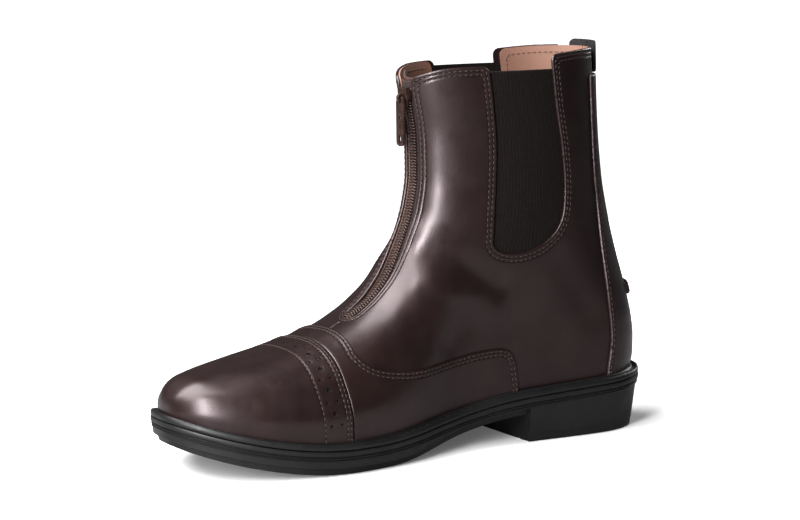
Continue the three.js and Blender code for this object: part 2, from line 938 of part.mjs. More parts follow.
// Slider on the chain, in a frame of its own: x across, y into the boot, z up the zip
const sliderZ = collarHeight - sliderDrop - sliderLength / 2;
const sliderSpan = sliderLength / 2;
const sliderRun = frontEdge(sliderZ - sliderSpan) - frontEdge(sliderZ + sliderSpan);
const sliderLean = Math.atan2(sliderRun, sliderLength);
const chainTop = -(chainOffset + chainThickness);
const plateInner = chainTop - gap;
const plateOuter = plateInner - sliderPlate;
const pivotY = plateOuter - pullBarRadius - pivotGap;
const bridgeInner = pullBarRadius + pivotGap;
const bridgeOuter = bridgeInner + bridgeThickness;

// An arch in the side view, from a base line round the pivot and back
function archPoints(base, radius) {
  const round = Array.from({ length: 9 }, (_, i) => {
    const angle = Math.PI / 2 + (Math.PI * i) / 8;
    return [pivotY + radius * Math.cos(angle), radius * Math.sin(angle)];
  });
  return [[base, -radius], [base, radius], ...round];
}

function makeSlider() {
  const half = sliderWidth / 2;
  const tip = half * 0.72;
  const shoulder = half * 0.9;
  const outline = [
    [-tip, -sliderSpan],
    [tip, -sliderSpan],
    [half, sliderSpan * 0.2],
    [shoulder, sliderSpan],
    [-shoulder, sliderSpan],
    [-half, sliderSpan * 0.2],
  ];
  const channel = chainWidth / 2 + gap;
  const groove = [
    [-channel, -reach],
    [channel, -reach],
    [channel, reach],
    [-channel, reach],
  ];
  const width = [-bridgeWidth / 2, bridgeWidth / 2];
  const bridge = acrossPrism(archPoints(plateOuter + gap, bridgeOuter), ...width);
  const window = acrossPrism(archPoints(plateOuter, bridgeInner), -bridgeWidth, bridgeWidth);
  return frontPrism(outline, plateOuter, -tapeOffset - gap)
    .subtract(frontPrism(groove, plateInner, reach))
    .add(bridge.subtract(window));
}

// Pull tab: a bar through the slider's bridge, two legs, and a plate with two holes
function makePull() {
  const half = pullWidth / 2;
  const foot = half * 0.86;
  const neck = half - pullShoulder;
  const eye = bridgeWidth / 2 + gap;
  const plateTop = -bridgeOuter - gap - 0.1;
  const rounding = Array.from({ length: 7 }, (_, i) => {
    const angle = Math.PI + (Math.PI * i) / 6;
    return [foot * Math.cos(angle), -pullLength + foot * 0.6 * (1 + Math.sin(angle))];
  });
  const plate = [...rounding, [half, plateTop], [neck, 0], [-neck, 0], [-half, plateTop]];
  const thick = [-pullThickness / 2, pullThickness / 2];
  const window = [
    [-eye, plateTop],
    [eye, plateTop],
    [eye, reach],
    [-eye, reach],
  ];
  const sides = 12;
  const round = (width, height, share) =>
    Array.from({ length: sides }, (_, i) => {
      const angle = (2 * Math.PI * i) / sides;
      return [width * Math.cos(angle), height * Math.sin(angle) - pullLength * share];
    });
  const hole = round(pullHoleRadius, pullHoleRadius, 0.42);
  const slot = round(pullSlotHalf.width, pullSlotHalf.height, 0.85);
  const bar = new THREE.CylinderGeometry(pullBarRadius, pullBarRadius, 2 * neck, 16);
  bar.rotateZ(Math.PI / 2);
  return frontPrism(plate, ...thick)
    .subtract(frontPrism(window, -reach, reach))
    .subtract(frontPrism(hole, -reach, reach))
    .subtract(frontPrism(slot, -reach, reach))
    .add(solidOf(bar));
}

addPiece("outsole", geometryOf(makeOutsole()), rubber);
addPiece("welt", makeWelt(), rubber);
addPiece("insole", makeInsole(), lining);
addPiece("upper", geometryOf(makeUpper()), leather);
addPiece("toe_cap", geometryOf(makeToeCap()), leather);
addPiece("vamp", geometryOf(makeVamp()), leather);
addPiece("backstay", geometryOf(makeBackstay()), leather);
addPiece("back_tab", geometryOf(makeBackTab()), elastic);
addPiece("spur_rest", geometryOf(makeSpurRest()), leather);
addPiece("elastic_inner", geometryOf(makeElastic(1)), elastic);
addPiece("elastic_outer", geometryOf(makeElastic(-1)), elastic);
addPiece("zip_tape", geometryOf(makeTape()), tapeCloth);
addPiece("zip_guard", geometryOf(makeGuard()), lining);
addPiece("zip_chain", geometryOf(makeChain()), zipPlastic);

const slider = new THREE.Group();
slider.position.set(spine(alongOf(frontEdge(sliderZ))), frontEdge(sliderZ), sliderZ);
slider.rotation.x = sliderLean;
boot.add(slider);
addPiece("zip_slider", geometryOf(makeSlider()), zipPlastic, slider);

// The pull hangs straight down from the pivot, which runs across the boot
const pivot = new THREE.Vector3(0, pivotY, 0).applyEuler(slider.rotation).add(slider.position);
const pull = addPiece("zip_pull", geometryOf(makePull()), zipPlastic);
pull.position.copy(pivot);

export default boot;
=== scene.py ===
"""Looks of a right paddock boot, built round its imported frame. Lengths are millimetres until a mesh is made.
The toe points along -Y, the inner side of the foot is +X, and the floor is z = 0."""
import math

import bmesh
import bpy
import numpy as np
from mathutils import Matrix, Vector
from mathutils.bvhtree import BVHTree


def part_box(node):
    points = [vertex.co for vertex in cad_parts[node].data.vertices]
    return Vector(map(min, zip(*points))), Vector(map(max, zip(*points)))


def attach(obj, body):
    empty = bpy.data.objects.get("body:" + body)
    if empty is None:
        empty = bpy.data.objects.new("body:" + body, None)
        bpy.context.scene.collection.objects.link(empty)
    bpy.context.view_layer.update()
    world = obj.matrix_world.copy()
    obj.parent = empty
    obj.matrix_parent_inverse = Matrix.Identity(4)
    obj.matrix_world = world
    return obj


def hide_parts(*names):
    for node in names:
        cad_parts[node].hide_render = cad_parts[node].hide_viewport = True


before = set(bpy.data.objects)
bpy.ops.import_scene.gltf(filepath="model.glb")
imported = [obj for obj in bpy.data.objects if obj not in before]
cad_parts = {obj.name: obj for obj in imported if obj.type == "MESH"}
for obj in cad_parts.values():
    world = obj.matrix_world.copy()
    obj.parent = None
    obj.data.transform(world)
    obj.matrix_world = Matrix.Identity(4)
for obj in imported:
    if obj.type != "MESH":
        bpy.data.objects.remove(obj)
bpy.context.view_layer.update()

MM = 0.001

# Sizes that the surface follows
SOLE_LENGTH = (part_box("outsole")[1].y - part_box("outsole")[0].y) / MM
COLLAR_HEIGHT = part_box("upper")[1].z / MM
BALL_WIDTH = 107.0
HEEL_WIDTH = 71.0
HEEL_LENGTH = 84.0
HEEL_HEIGHT = 25.5
ARCH_HEIGHT = 14.5
SOLE_THICKNESS = 12.5
TOE_SPRING = 16.5
FLANGE_WIDTH = 6.0
WELT_THICKNESS = 3.6
INSOLE_THICKNESS = 3.5
LEG_WIDTH = 60.0
GAP = 0.3


def ease(value, start, end):
    t = np.clip((value - start) / (end - start), 0, 1)
    return t * t * (3 - 2 * t)


def lerp(a, b, t):
    return a + (b - a) * t


def rows_of(table):
    return np.array(sorted(table), float)


def smooth_curve(table):
    """A curve through a table's first two columns, with no overshoot, straight beyond its ends."""
    x, y = rows_of(table).T
    step = np.diff(y) / np.diff(x)
    product = step[:-1] * step[1:]
    total = np.where(product > 0, step[:-1] + step[1:], 1.0)
    slope = np.concatenate([step[:1], np.where(product > 0, 2 * product / total, 0.0), step[-1:]])

    def at(value):
        value = np.asarray(value, float)
        i = np.clip(np.searchsorted(x, value, side="right") - 1, 0, len(x) - 2)
        width = x[i + 1] - x[i]
        t = np.clip((value - x[i]) / width, 0, 1)
        a = y[i] * (1 + 2 * t) + width * slope[i] * t
        b = y[i + 1] * (3 - 2 * t) - width * slope[i + 1] * (1 - t)
        beyond = np.minimum(value - x[0], 0) * slope[0] + np.maximum(value - x[-1], 0) * slope[-1]
        return a * (1 - t) ** 2 + b * t**2 + beyond

    return at


# Plan of the sole: share of its length from the heel, half width
INNER_PLAN = [
    (0.0, HEEL_WIDTH * 0.5),
    (0.14, HEEL_WIDTH * 0.5),
    (0.26, HEEL_WIDTH * 0.48),
    (0.42, BALL_WIDTH * 0.29),
    (0.58, BALL_WIDTH * 0.385),
    (0.69, BALL_WIDTH * 0.42),
    (1.0, BALL_WIDTH * 0.42),
]
OUTER_PLAN = [
    (0.0, HEEL_WIDTH * 0.5),
    (0.14, HEEL_WIDTH * 0.5),
    (0.26, HEEL_WIDTH * 0.5),
    (0.42, BALL_WIDTH * 0.38),
    (0.58, BALL_WIDTH * 0.535),
    (0.69, BALL_WIDTH * 0.58),
    (1.0, BALL_WIDTH * 0.58),
]
# Height of the sole's rim: share of its length from the heel, height
RIM = [
    (0.0, HEEL_HEIGHT * 1.12),
    (0.1, HEEL_HEIGHT * 1.06),
    (0.22, HEEL_HEIGHT),
    (0.32, HEEL_HEIGHT * 0.9 + SOLE_THICKNESS * 0.06),
    (0.48, HEEL_HEIGHT * 0.32 + SOLE_THICKNESS * 0.7),
    (0.64, SOLE_THICKNESS),
    (0.72, SOLE_THICKNESS),
    (1.0, SOLE_THICKNESS),
]
inner_plan = smooth_curve(INNER_PLAN)
outer_plan = smooth_curve(OUTER_PLAN)
rim_curve = smooth_curve(RIM)

HEEL_ROUND = 0.14
HEEL_POWER = 2.2
TOE_ROUND = 0.31
TOE_INNER_POWER = 1.85
TOE_OUTER_POWER = 2.15
BALL_ALONG = 0.69
TOE_TURN_IN = 7.0
BREAST_ALONG = HEEL_LENGTH / SOLE_LENGTH
BREAST_RUN = 0.003
ARCH_END = 0.62
SPRING_START = 0.7
SPRING_POWER = 1.8


def along_of(y):
    return 0.5 - np.asarray(y, float) / SOLE_LENGTH


def y_of(along):
    return (0.5 - np.asarray(along, float)) * SOLE_LENGTH


def rounded(share, power):
    return np.maximum(0, 1 - np.clip(share, 0, 1) ** power) ** (1 / power)


def sole_half(along, side):
    plan = np.where(side > 0, inner_plan(along), outer_plan(along))
    toe_power = np.where(side > 0, TOE_INNER_POWER, TOE_OUTER_POWER)
    heel = rounded((HEEL_ROUND - along) / HEEL_ROUND, HEEL_POWER)
    return plan * heel * rounded((along - 1 + TOE_ROUND) / TOE_ROUND, toe_power)


BALL_OFFSET = float(outer_plan(BALL_ALONG) - inner_plan(BALL_ALONG)) / 2


def spine(along):
    return BALL_OFFSET + TOE_TURN_IN * (along - BALL_ALONG)


def outline_ring(stations, inset):
    """The sole's edge moved inwards, anticlockwise from the heel by the outer side."""
    outer = np.stack([spine(stations) - sole_half(stations, -1), y_of(stations)], 1)
    inner = np.stack([spine(stations) + sole_half(stations, 1), y_of(stations)], 1)
    ring = np.vstack([outer, inner[1:-1][::-1]])
    along = np.concatenate([stations, stations[1:-1][::-1]])
    chord = np.roll(ring, -1, 0) - np.roll(ring, 1, 0)
    chord /= np.linalg.norm(chord, axis=1, keepdims=True)
    return ring + inset * np.stack([-chord[:, 1], chord[:, 0]], 1), along


def even_stations(count):
    return (1 - np.cos(np.pi * np.arange(count + 1) / count)) / 2


def spring_lift(along):
    return TOE_SPRING * np.clip((along - SPRING_START) / (1 - SPRING_START), 0, 1) ** SPRING_POWER


def underside(along):
    arch = ARCH_HEIGHT * (1 - ease(along, BREAST_ALONG, ARCH_END))
    return np.where(along <= BREAST_ALONG, 0, arch + spring_lift(along))


def rim(along):
    return rim_curve(along) + spring_lift(along)


def seat(y):
    return rim(along_of(y)) + GAP


def above_welt(y):
    return seat(y) + WELT_THICKNESS + GAP


# The line on the sole where the upper stands, by side
FEATHER_STEPS = 120
feather_ring, _ = outline_ring(even_stations(FEATHER_STEPS), FLANGE_WIDTH)
feather_outer = feather_ring[: FEATHER_STEPS + 1]
feather_inner = np.vstack([feather_ring[FEATHER_STEPS:], feather_ring[:1]])[::-1]
FEATHER_TOE = float(feather_ring[FEATHER_STEPS, 1])
FEATHER_HEEL = float(feather_ring[0, 1])


def feather_half(y, side):
    halves = [
        s * (np.interp(-y, -line[:, 1], line[:, 0]) - spine(along_of(y)))
        for s, line in ((1, feather_inner), (-1, feather_outer))
    ]
    half = np.where(side > 0, halves[0], halves[1])
    return np.where((y >= FEATHER_HEEL) | (y <= FEATHER_TOE), 0, np.maximum(0, half))


# Side view of the upper: share of the height from welt to collar, share of the sole's length
FRONT = [
    (0.0, 0.0),
    (0.035, 0.003),
    (0.065, 0.013),
    (0.097, 0.036),
    (0.122, 0.085),
    (0.149, 0.158),
    (0.174, 0.235),
    (0.205, 0.302),
    (0.242, 0.358),
    (0.291, 0.402),
    (0.36, 0.435),
    (0.445, 0.458),
    (0.54, 0.478),
    (0.64, 0.487),
    (0.75, 0.485),
    (0.87, 0.473),
    (1.04, 0.455),
]
BACK = [
    (0.0, 0.0),
    (0.04, -0.005),
    (0.09, -0.0055),
    (0.15, -0.001),
    (0.21, 0.007),
    (0.28, 0.018),
    (0.35, 0.03),
    (0.43, 0.042),
    (0.51, 0.053),
    (0.6, 0.064),
    (0.75, 0.074),
    (0.87, 0.078),
    (1.04, 0.081),
]
OVER_COLLAR = 1.04
# Section of the leg: share of the collar's height, share of the collar's half width
LEG = [(0.0, 1.1), (0.3, 1.08), (0.5, 1.04), (0.7, 1.02), (1.0, 1.0)]
front_by_up = smooth_curve(FRONT)
back_by_up = smooth_curve(BACK)
leg_by_up = smooth_curve(LEG)

TOE_BASE = float(above_welt(FEATHER_TOE))
HEEL_BASE = float(above_welt(FEATHER_HEEL))
SIDE_POWER = 2.45
SIDE_BULGE = 0.035
LEG_POWER = 2.1
LEG_START = 0.28
LEG_FULL = 0.62


def front_edge(z):
    up = (z - TOE_BASE) / (COLLAR_HEIGHT - TOE_BASE)
    return FEATHER_TOE + front_by_up(np.maximum(0, up)) * SOLE_LENGTH


def back_edge(z):
    up = (z - HEEL_BASE) / (COLLAR_HEIGHT - HEEL_BASE)
    return FEATHER_HEEL - back_by_up(np.maximum(0, up)) * SOLE_LENGTH


# Low rings sag with the welt between toe and heel, and the sag fades out on the way up
SAG_END = 0.3125
SAG_POWER = 1.5
PROFILE_SAMPLES = 400
CREST_TOP = 0.54


def sag_share(up):
    return np.maximum(0, 1 - up / SAG_END) ** SAG_POWER


def crest():
    """The crest that the rings reach along the foot, up to where the leg has taken over."""
    up = np.linspace(0, CREST_TOP, PROFILE_SAMPLES)
    z = TOE_BASE + up * (COLLAR_HEIGHT - TOE_BASE)
    y = front_edge(z)
    return y, z + (above_welt(y) - TOE_BASE) * sag_share(up)


crest_y, crest_z = crest()


def ridge(y):
    slope = (crest_z[-1] - crest_z[-2]) / (crest_y[-1] - crest_y[-2])
    return np.interp(y, crest_y, crest_z) + np.maximum(0, y - crest_y[-1]) * slope


def foot_half(y, z, side):
    low = above_welt(y)
    rise = np.clip((z - low) / np.maximum(1, ridge(y) - low), 0, 1)
    lean = (FEATHER_HEEL - back_edge(z)) * ease(y, 0, FEATHER_HEEL * 0.75)
    bulge = 1 + SIDE_BULGE * np.sin(np.pi * np.minimum(1, rise * 1.6)) ** 2
    return feather_half(y + lean, side) * bulge * rounded(rise, SIDE_POWER)


def leg_half(y, z):
    front, back = front_edge(z), back_edge(z)
    share = np.abs((2 * y - front - back) / (back - front))
    return LEG_WIDTH / 2 * leg_by_up(z / COLLAR_HEIGHT) * rounded(share, LEG_POWER)


def upper_half(y, z, side):
    z = np.maximum(z, above_welt(y))
    foot = foot_half(y, z, side)
    return foot + (leg_half(y, z) - foot) * ease(z / COLLAR_HEIGHT, LEG_START, LEG_FULL)


def lift(outline, side):
    """Points (y, z) of the side view, on the upper's surface."""
    y, z = np.asarray(outline, float).T
    return np.stack([spine(along_of(y)) + side * upper_half(y, z, side), y, z], 1)


# The surface as a grid: u runs once round from the back, w climbs from the sole to over the collar
SKIRT = 0.02
CROWDING = 0.35
TOE_CROWDING = 1.6
TOE_CROWDING_LENGTH = 24.0


def profile_lengths():
    up = np.linspace(0, OVER_COLLAR, PROFILE_SAMPLES)
    back = front_by_up(up) * SOLE_LENGTH
    weight = 1 + TOE_CROWDING * np.exp(-back / TOE_CROWDING_LENGTH)
    steps = weight[1:] * np.hypot(np.diff(back), np.diff(up) * (COLLAR_HEIGHT - TOE_BASE))
    return up, np.concatenate([[0], np.cumsum(steps)])


profile_up, profile_length = profile_lengths()


def surface(u, w):
    """Places on the surface, and the side that each is on."""
    turn = np.pi * (1 + 2 * u)
    angle = turn + CROWDING / 2 * np.sin(2 * turn)
    share = np.maximum(0, w - SKIRT) / (1 - SKIRT)
    up = np.interp(share * profile_length[-1], profile_length, profile_up)
    front_z = TOE_BASE + up * (COLLAR_HEIGHT - TOE_BASE)
    back_z = HEEL_BASE + up * (COLLAR_HEIGHT - HEEL_BASE)
    t = (1 - np.cos(angle)) / 2
    y = lerp(front_edge(front_z), back_edge(back_z), t)
    sag = above_welt(y) - lerp(TOE_BASE, HEEL_BASE, t)
    above = lerp(front_z, back_z, t) + sag * sag_share(up)
    z = lerp(seat(y), above, np.clip(w / SKIRT, 0, 1))
    side = np.where(np.sin(angle) >= 0, 1, -1)
    x = spine(along_of(y)) + side * upper_half(y, z, side)
    return np.stack([x, y, z], 1), side


class Places:
    """Places on the upper's surface with their normals."""

    def __init__(self, u, w):
        turn, climb = 0.0016, 0.0018
        self.xyz, self.side = surface(u, w)
        around = surface(u + turn, w)[0] - surface(u - turn, w)[0]
        upward = surface(u, np.minimum(1, w + climb))[0] - surface(u, np.maximum(0, w - climb))[0]
        normal = np.cross(around, upward)
        self.normal = normal / np.maximum(1e-9, np.linalg.norm(normal, axis=1, keepdims=True))
        self.x, self.y, self.z = self.xyz.T


# Creases on the ankle: side, start and end (y, z), half width, depth (less than 0 is a ridge)
CREASES = [
    (1, (4, 104), (40, 84), 6.5, 1.5),
    (1, (2, 90), (36, 72), 7.5, -1.2),
    (1, (30, 74), (12, 56), 7.0, 0.9),
    (1, (78, 92), (98, 64), 9.0, 0.8),
    (1, (-2, 128), (14, 112), 8.0, 0.6),
    (-1, (4, 108), (44, 88), 7.0, 1.4),
    (-1, (0, 92), (38, 74), 8.0, -1.0),
    (-1, (34, 70), (14, 56), 8.0, 0.8),
    (-1, (74, 96), (100, 70), 9.0, 0.9),
    (1, (-52, 60), (-30, 40), 10.0, 0.5),
    (-1, (-54, 60), (-34, 40), 10.0, 0.5),
]
# Distance across from the boot's middle over which a crease grows to its full depth
CREASE_FADE = (2, 12)


def relief(places):
    """Height of the creases over the plain surface."""
    height = np.zeros(len(places.y))
    for side, start, end, width, depth in CREASES:
        start, end = np.array(start, float), np.array(end, float)
        run = end - start
        py, pz = places.y - start[0], places.z - start[1]
        t = np.clip((py * run[0] + pz * run[1]) / (run @ run), 0, 1)
        away = np.hypot(py - t * run[0], pz - t * run[1])
        fade = ease(np.abs(places.x - spine(along_of(places.y))), *CREASE_FADE)
        height -= depth * fade * (places.side == side) * np.exp(-((away / width) ** 2))
    return height


# Outlines in the side view
LEG_HEIGHT = COLLAR_HEIGHT - HEEL_BASE


def leg_place(share, up):
    z = HEEL_BASE + up * LEG_HEIGHT
    front = front_edge(z)
    return float(front + share * (back_edge(z) - front)), float(z)


def foot_place(along, up):
    return float(y_of(along)), TOE_BASE + up * (COLLAR_HEIGHT - TOE_BASE)


def resampled(points, spacing):
    points = np.asarray(points, float)
    lengths = np.concatenate([[0], np.cumsum(np.linalg.norm(np.diff(points, axis=0), axis=1))])
    count = max(2, int(round(lengths[-1] / spacing)) + 1)
    at = np.linspace(0, lengths[-1], count)
    return np.stack([np.interp(at, lengths, column) for column in points.T], 1)


def spline(points, spacing=0.5):
    """A smooth curve through given points, in even steps."""
    p = np.asarray(points, float)
    padded = np.vstack([2 * p[0] - p[1], p, 2 * p[-1] - p[-2]])
    t = np.linspace(0, 1, 24, endpoint=False)[:, None]
    parts = []
    for i in range(1, len(padded) - 2):
        a, b, c, d = padded[i - 1 : i + 3]
        square = 2 * a - 5 * b + 4 * c - d
        cube = 3 * b - a - 3 * c + d
        parts.append(0.5 * (2 * b + (c - a) * t + square * t**2 + cube * t**3))
    return resampled(np.vstack(parts + [p[-1:]]), spacing)


# Elastic panel, round from its front top: share of the leg's depth, share of its height
ELASTIC = [
    (0.315, 1.1),
    (0.315, 0.75),
    (0.315, 0.48),
    (0.33, 0.425),
    (0.39, 0.4),
    (0.48, 0.4),
    (0.57, 0.425),
    (0.645, 0.48),
    (0.675, 0.57),
    (0.675, 0.7),
    (0.655, 0.84),
    (0.635, 1.1),
]
# Collar: share of the leg's depth, how far it lies below the highest point
COLLAR = [
    (-0.4, 17.0),
    (-0.02, 16.0),
    (0.03, 12.5),
    (0.09, 9.0),
    (0.16, 7.4),
    (0.3, 6.8),
    (0.36, 6.8),
    (0.6, 2.6),
    (0.68, 1.8),
    (0.85, 0.4),
    (1.0, 0.0),
    (1.4, 0.0),
]
# Rear edge of the vamp: share of the sole's length, share of the height
VAMP_EDGE = [
    (0.662, 0.3),
    (0.662, 0.172),
    (0.66, 0.142),
    (0.64, 0.112),
    (0.6, 0.094),
    (0.54, 0.088),
    (0.46, 0.1),
    (0.39, 0.113),
    (0.345, 0.112),
    (0.325, 0.085),
    (0.315, 0.0),
    (0.315, -0.12),
]
CAP_CREST = 0.712
CAP_LOW = 0.688
CAP_TOP = 0.3
# Front edge of the backstay: share of the sole's length in from the back edge, share of the leg's height
BACKSTAY = [
    (0.096, -0.1),
    (0.096, 0.0),
    (0.094, 0.1),
    (0.086, 0.22),
    (0.077, 0.3),
    (0.064, 0.4),
    (0.05, 0.52),
    (0.043, 0.65),
    (0.042, 1.1),
]


def collar_edge():
    front, back = float(front_edge(COLLAR_HEIGHT)), float(back_edge(COLLAR_HEIGHT))
    drop = smooth_curve(COLLAR)
    share = np.linspace(COLLAR[0][0], COLLAR[-1][0], 400)
    return np.stack([front + share * (back - front), COLLAR_HEIGHT - drop(share)], 1)


def backstay_edge():
    rows = []
    for inward, up in BACKSTAY:
        z = HEEL_BASE + up * LEG_HEIGHT
        rows.append((float(back_edge(z)) - inward * SOLE_LENGTH, z))
    return spline(rows)


collar_line = collar_edge()
gore_line = spline([leg_place(*row) for row in ELASTIC])
vamp_line = spline([foot_place(*row) for row in VAMP_EDGE])
cap_line = resampled([(y_of(CAP_LOW), 0.0), foot_place(CAP_CREST, CAP_TOP)], 0.5)
stay_line = backstay_edge()
FAR = 4 * SOLE_LENGTH


def inside(outline, y, z):
    """Which points lie inside a closed outline of the side view."""
    a, b = outline, np.roll(outline, -1, 0)
    count = np.zeros(len(y), int)
    for (ay, az), (by, bz) in zip(a, b):
        if az == bz:
            continue
        crosses = (az > z) != (bz > z)
        count += crosses & (y < ay + (z - az) * (by - ay) / (bz - az))
    return count % 2 == 1


def distance_to(line, points):
    """Distance from points to a line of closely spaced points."""
    nearest = np.empty(len(points), int)
    for start in range(0, len(points), 4000):
        part = points[start : start + 4000]
        squares = (line**2).sum(1)[None] - 2 * part @ line.T
        nearest[start : start + 4000] = np.argmin(squares, 1)
    best = np.full(len(points), np.inf)
    for shift in (-1, 0):
        i = np.clip(nearest + shift, 0, len(line) - 2)
        a, b = line[i], line[i + 1]
        run = b - a
        t = np.clip(((points - a) * run).sum(1) / np.maximum(1e-12, (run**2).sum(1)), 0, 1)
        best = np.minimum(best, np.linalg.norm(points - a - t[:, None] * run, axis=1))
    return best


def side_field(edge, closing):
    """A signed distance over the surface, less than 0 inside an edge and its closing points."""
    outline = np.vstack([edge, np.asarray(closing, float)]) if len(closing) else edge
    lines = {side: resampled(lift(edge, side), 0.4) for side in (1, -1)}

    def field(places):
        away = np.empty(len(places.y))
        for side, line in lines.items():
            mine = places.side == side
            away[mine] = distance_to(line, places.xyz[mine])
        return np.where(inside(outline, places.y, places.z), -away, away)

    return field




def beyond(line, way):
    """Closing points far off, past the ends of a line that climbs."""
    top, foot = float(line[-1, 0]), float(line[0, 0])
    return [(top, FAR), (way * FAR, FAR), (way * FAR, -FAR), (foot, -FAR)]


higher = [(FAR, COLLAR_HEIGHT), (FAR, FAR), (-FAR, FAR), (-FAR, COLLAR_HEIGHT)]
above_collar = side_field(collar_line, higher)
in_gore = side_field(gore_line, [])
before_vamp_edge = side_field(vamp_line, [(-FAR, -FAR), (-FAR, FAR), (float(vamp_line[0, 0]), FAR)])
before_cap_edge = side_field(cap_line, beyond(cap_line, -1))
behind_stay_edge = side_field(stay_line, beyond(stay_line, 1))

# The zip's slot, by distance across from its middle and along the front profile from its foot
SLOT_X = float(spine(along_of(front_edge(COLLAR_HEIGHT))))
SLOT_FOOT = 71.0
SLOT_HALF_FOOT = 4.6
SLOT_HALF = 6.2
SLOT_OPENING_RUN = 45.0
FRONT_REACH = 30.0
ELSEWHERE = 9.0
front_z = np.linspace(SLOT_FOOT - 30, COLLAR_HEIGHT * 1.05, 400)
front_run = np.concatenate([[0], np.cumsum(np.hypot(np.diff(front_z), np.diff(front_edge(front_z))))])
FOOT_RUN = float(np.interp(SLOT_FOOT, front_z, front_run))


def along_zip(z):
    return np.interp(z, front_z, front_run) - FOOT_RUN


def zip_point(run):
    """The middle of the zip on the surface, and its outward normal."""
    z = np.interp(np.asarray(run, float) + FOOT_RUN, front_run, front_z)
    step = 1.0
    y = front_edge(z)
    place = np.stack([np.full_like(z, SLOT_X), y, z], -1)
    rise = front_edge(z + step) - front_edge(z - step)
    tangent = np.stack([np.zeros_like(z), rise, np.full_like(z, 2 * step)], -1)
    tangent /= np.linalg.norm(tangent, axis=-1, keepdims=True)
    return place, np.cross(np.array([1.0, 0, 0]), tangent)


def zip_field(half, foot_half_width, foot_drop=0.0):
    def field(places):
        run = along_zip(places.z) + foot_drop
        width = lerp(foot_half_width, half, ease(run, 0, SLOT_OPENING_RUN))
        short = np.maximum(0, foot_half_width - run)
        away = np.hypot(places.x - SLOT_X, short) - width
        at_front = places.y < front_edge(places.z) + FRONT_REACH
        return np.where(at_front, away, np.maximum(away, FRONT_REACH))

    return field


in_slot = zip_field(SLOT_HALF, SLOT_HALF_FOOT)


# Meshes cut from the surface
def grid(cols, rows, split, keep, fine):
    """Corners (u, w) and triangles of the kept cells, the fine ones split and their neighbours fitted."""
    wide = cols * split + 1
    faces = []
    r, c = np.nonzero(keep & fine)
    if len(r):
        a, b = np.meshgrid(np.arange(split), np.arange(split), indexing="ij")
        i = (r[:, None, None] * split + a).ravel()
        j = (c[:, None, None] * split + b).ravel()
        corner = i * wide + j
        faces += [np.stack([corner, corner + 1, corner + wide + 1], 1)]
        faces += [np.stack([corner, corner + wide + 1, corner + wide], 1)]
    fine = keep & fine
    padded = np.pad(fine, ((1, 1), (0, 0)))
    below, above = padded[:-2], padded[2:]
    before, after = np.roll(fine, 1, 1), np.roll(fine, -1, 1)
    coarse = keep & ~fine
    mixed = coarse & (below | above | before | after)
    r, c = np.nonzero(coarse & ~mixed)
    corner = r * split * wide + c * split
    up = split * wide
    faces += [np.stack([corner, corner + split, corner + up + split], 1)]
    faces += [np.stack([corner, corner + up + split, corner + up], 1)]
    fans = []
    for r, c in zip(*np.nonzero(mixed)):
        low = r * split * wide + c * split
        ring = [low + k for k in (range(split) if below[r, c] else (0,))]
        ring += [low + split + k * wide for k in (range(split) if after[r, c] else (0,))]
        ring += [low + up + split - k for k in (range(split) if above[r, c] else (0,))]
        ring += [low + up - k * wide for k in (range(split) if before[r, c] else (0,))]
        middle = low + split // 2 * (wide + 1)
        fans += [(middle, ring[k], ring[(k + 1) % len(ring)]) for k in range(len(ring))]
    if fans:
        faces.append(np.array(fans))
    faces = np.vstack(faces)
    used, faces = np.unique(faces, return_inverse=True)
    return np.stack([used % wide / (cols * split), used // wide / (rows * split)], 1), faces.reshape(-1, 3)


SNAP = 0.08
WELD = 1e-6


def slice_mesh(values, faces, column, level):
    """Cuts the triangles along a level of one column of their corners' values."""
    field = values[:, column]
    field[np.abs(field - level) < SNAP] = level
    above = field > level
    flags = above[faces]
    count = flags.sum(1)
    mixed = (count == 1) | (count == 2)
    rest, cut = faces[~mixed], faces[mixed]
    if not len(cut):
        return values, faces
    odd = np.where(count[mixed] == 1, np.argmax(flags[mixed], 1), np.argmin(flags[mixed], 1))
    p, q, r = (cut[np.arange(len(cut)), (odd + k) % 3] for k in range(3))
    pairs = np.sort(np.stack([np.concatenate([p, p]), np.concatenate([q, r])], 1), 1)
    edges, place = np.unique(pairs, axis=0, return_inverse=True)
    a, b = edges.T
    share = (level - field[a]) / (field[b] - field[a])
    added = values[a] + share[:, None] * (values[b] - values[a])
    added[:, column] = level
    place = place.reshape(-1) + len(values)
    pq, pr = place[: len(p)], place[len(p) :]
    pq = np.where(field[q] == level, q, np.where(field[p] == level, p, pq))
    pr = np.where(field[r] == level, r, np.where(field[p] == level, p, pr))
    made = np.vstack([np.stack([p, pq, pr], 1), np.stack([pq, q, r], 1), np.stack([pq, r, pr], 1)])
    whole = (made[:, 0] != made[:, 1]) & (made[:, 1] != made[:, 2]) & (made[:, 0] != made[:, 2])
    return np.vstack([values, added]), np.vstack([rest, made[whole]])


def make_object(name, points, faces, sharp=35, materials=(), index=None):
    """An object from corners in mm; edges sharper than so many degrees stay hard."""
    if isinstance(faces, np.ndarray):
        faces = faces.tolist()
    mesh = bpy.data.meshes.new(name)
    mesh.from_pydata((np.asarray(points) * MM).tolist(), [], faces)
    for material in materials:
        mesh.materials.append(material)
    if index is not None:
        mesh.polygons.foreach_set("material_index", np.asarray(index, np.int32))
    built = bmesh.new()
    built.from_mesh(mesh)
    bmesh.ops.remove_doubles(built, verts=built.verts, dist=WELD)
    bmesh.ops.dissolve_degenerate(built, edges=built.edges, dist=WELD / 2)
    built.to_mesh(mesh)
    built.free()
    mesh.shade_smooth()
    mesh.set_sharp_from_angle(angle=math.radians(sharp))
    item = bpy.data.objects.new(name, mesh)
    bpy.context.scene.collection.objects.link(item)
    return item


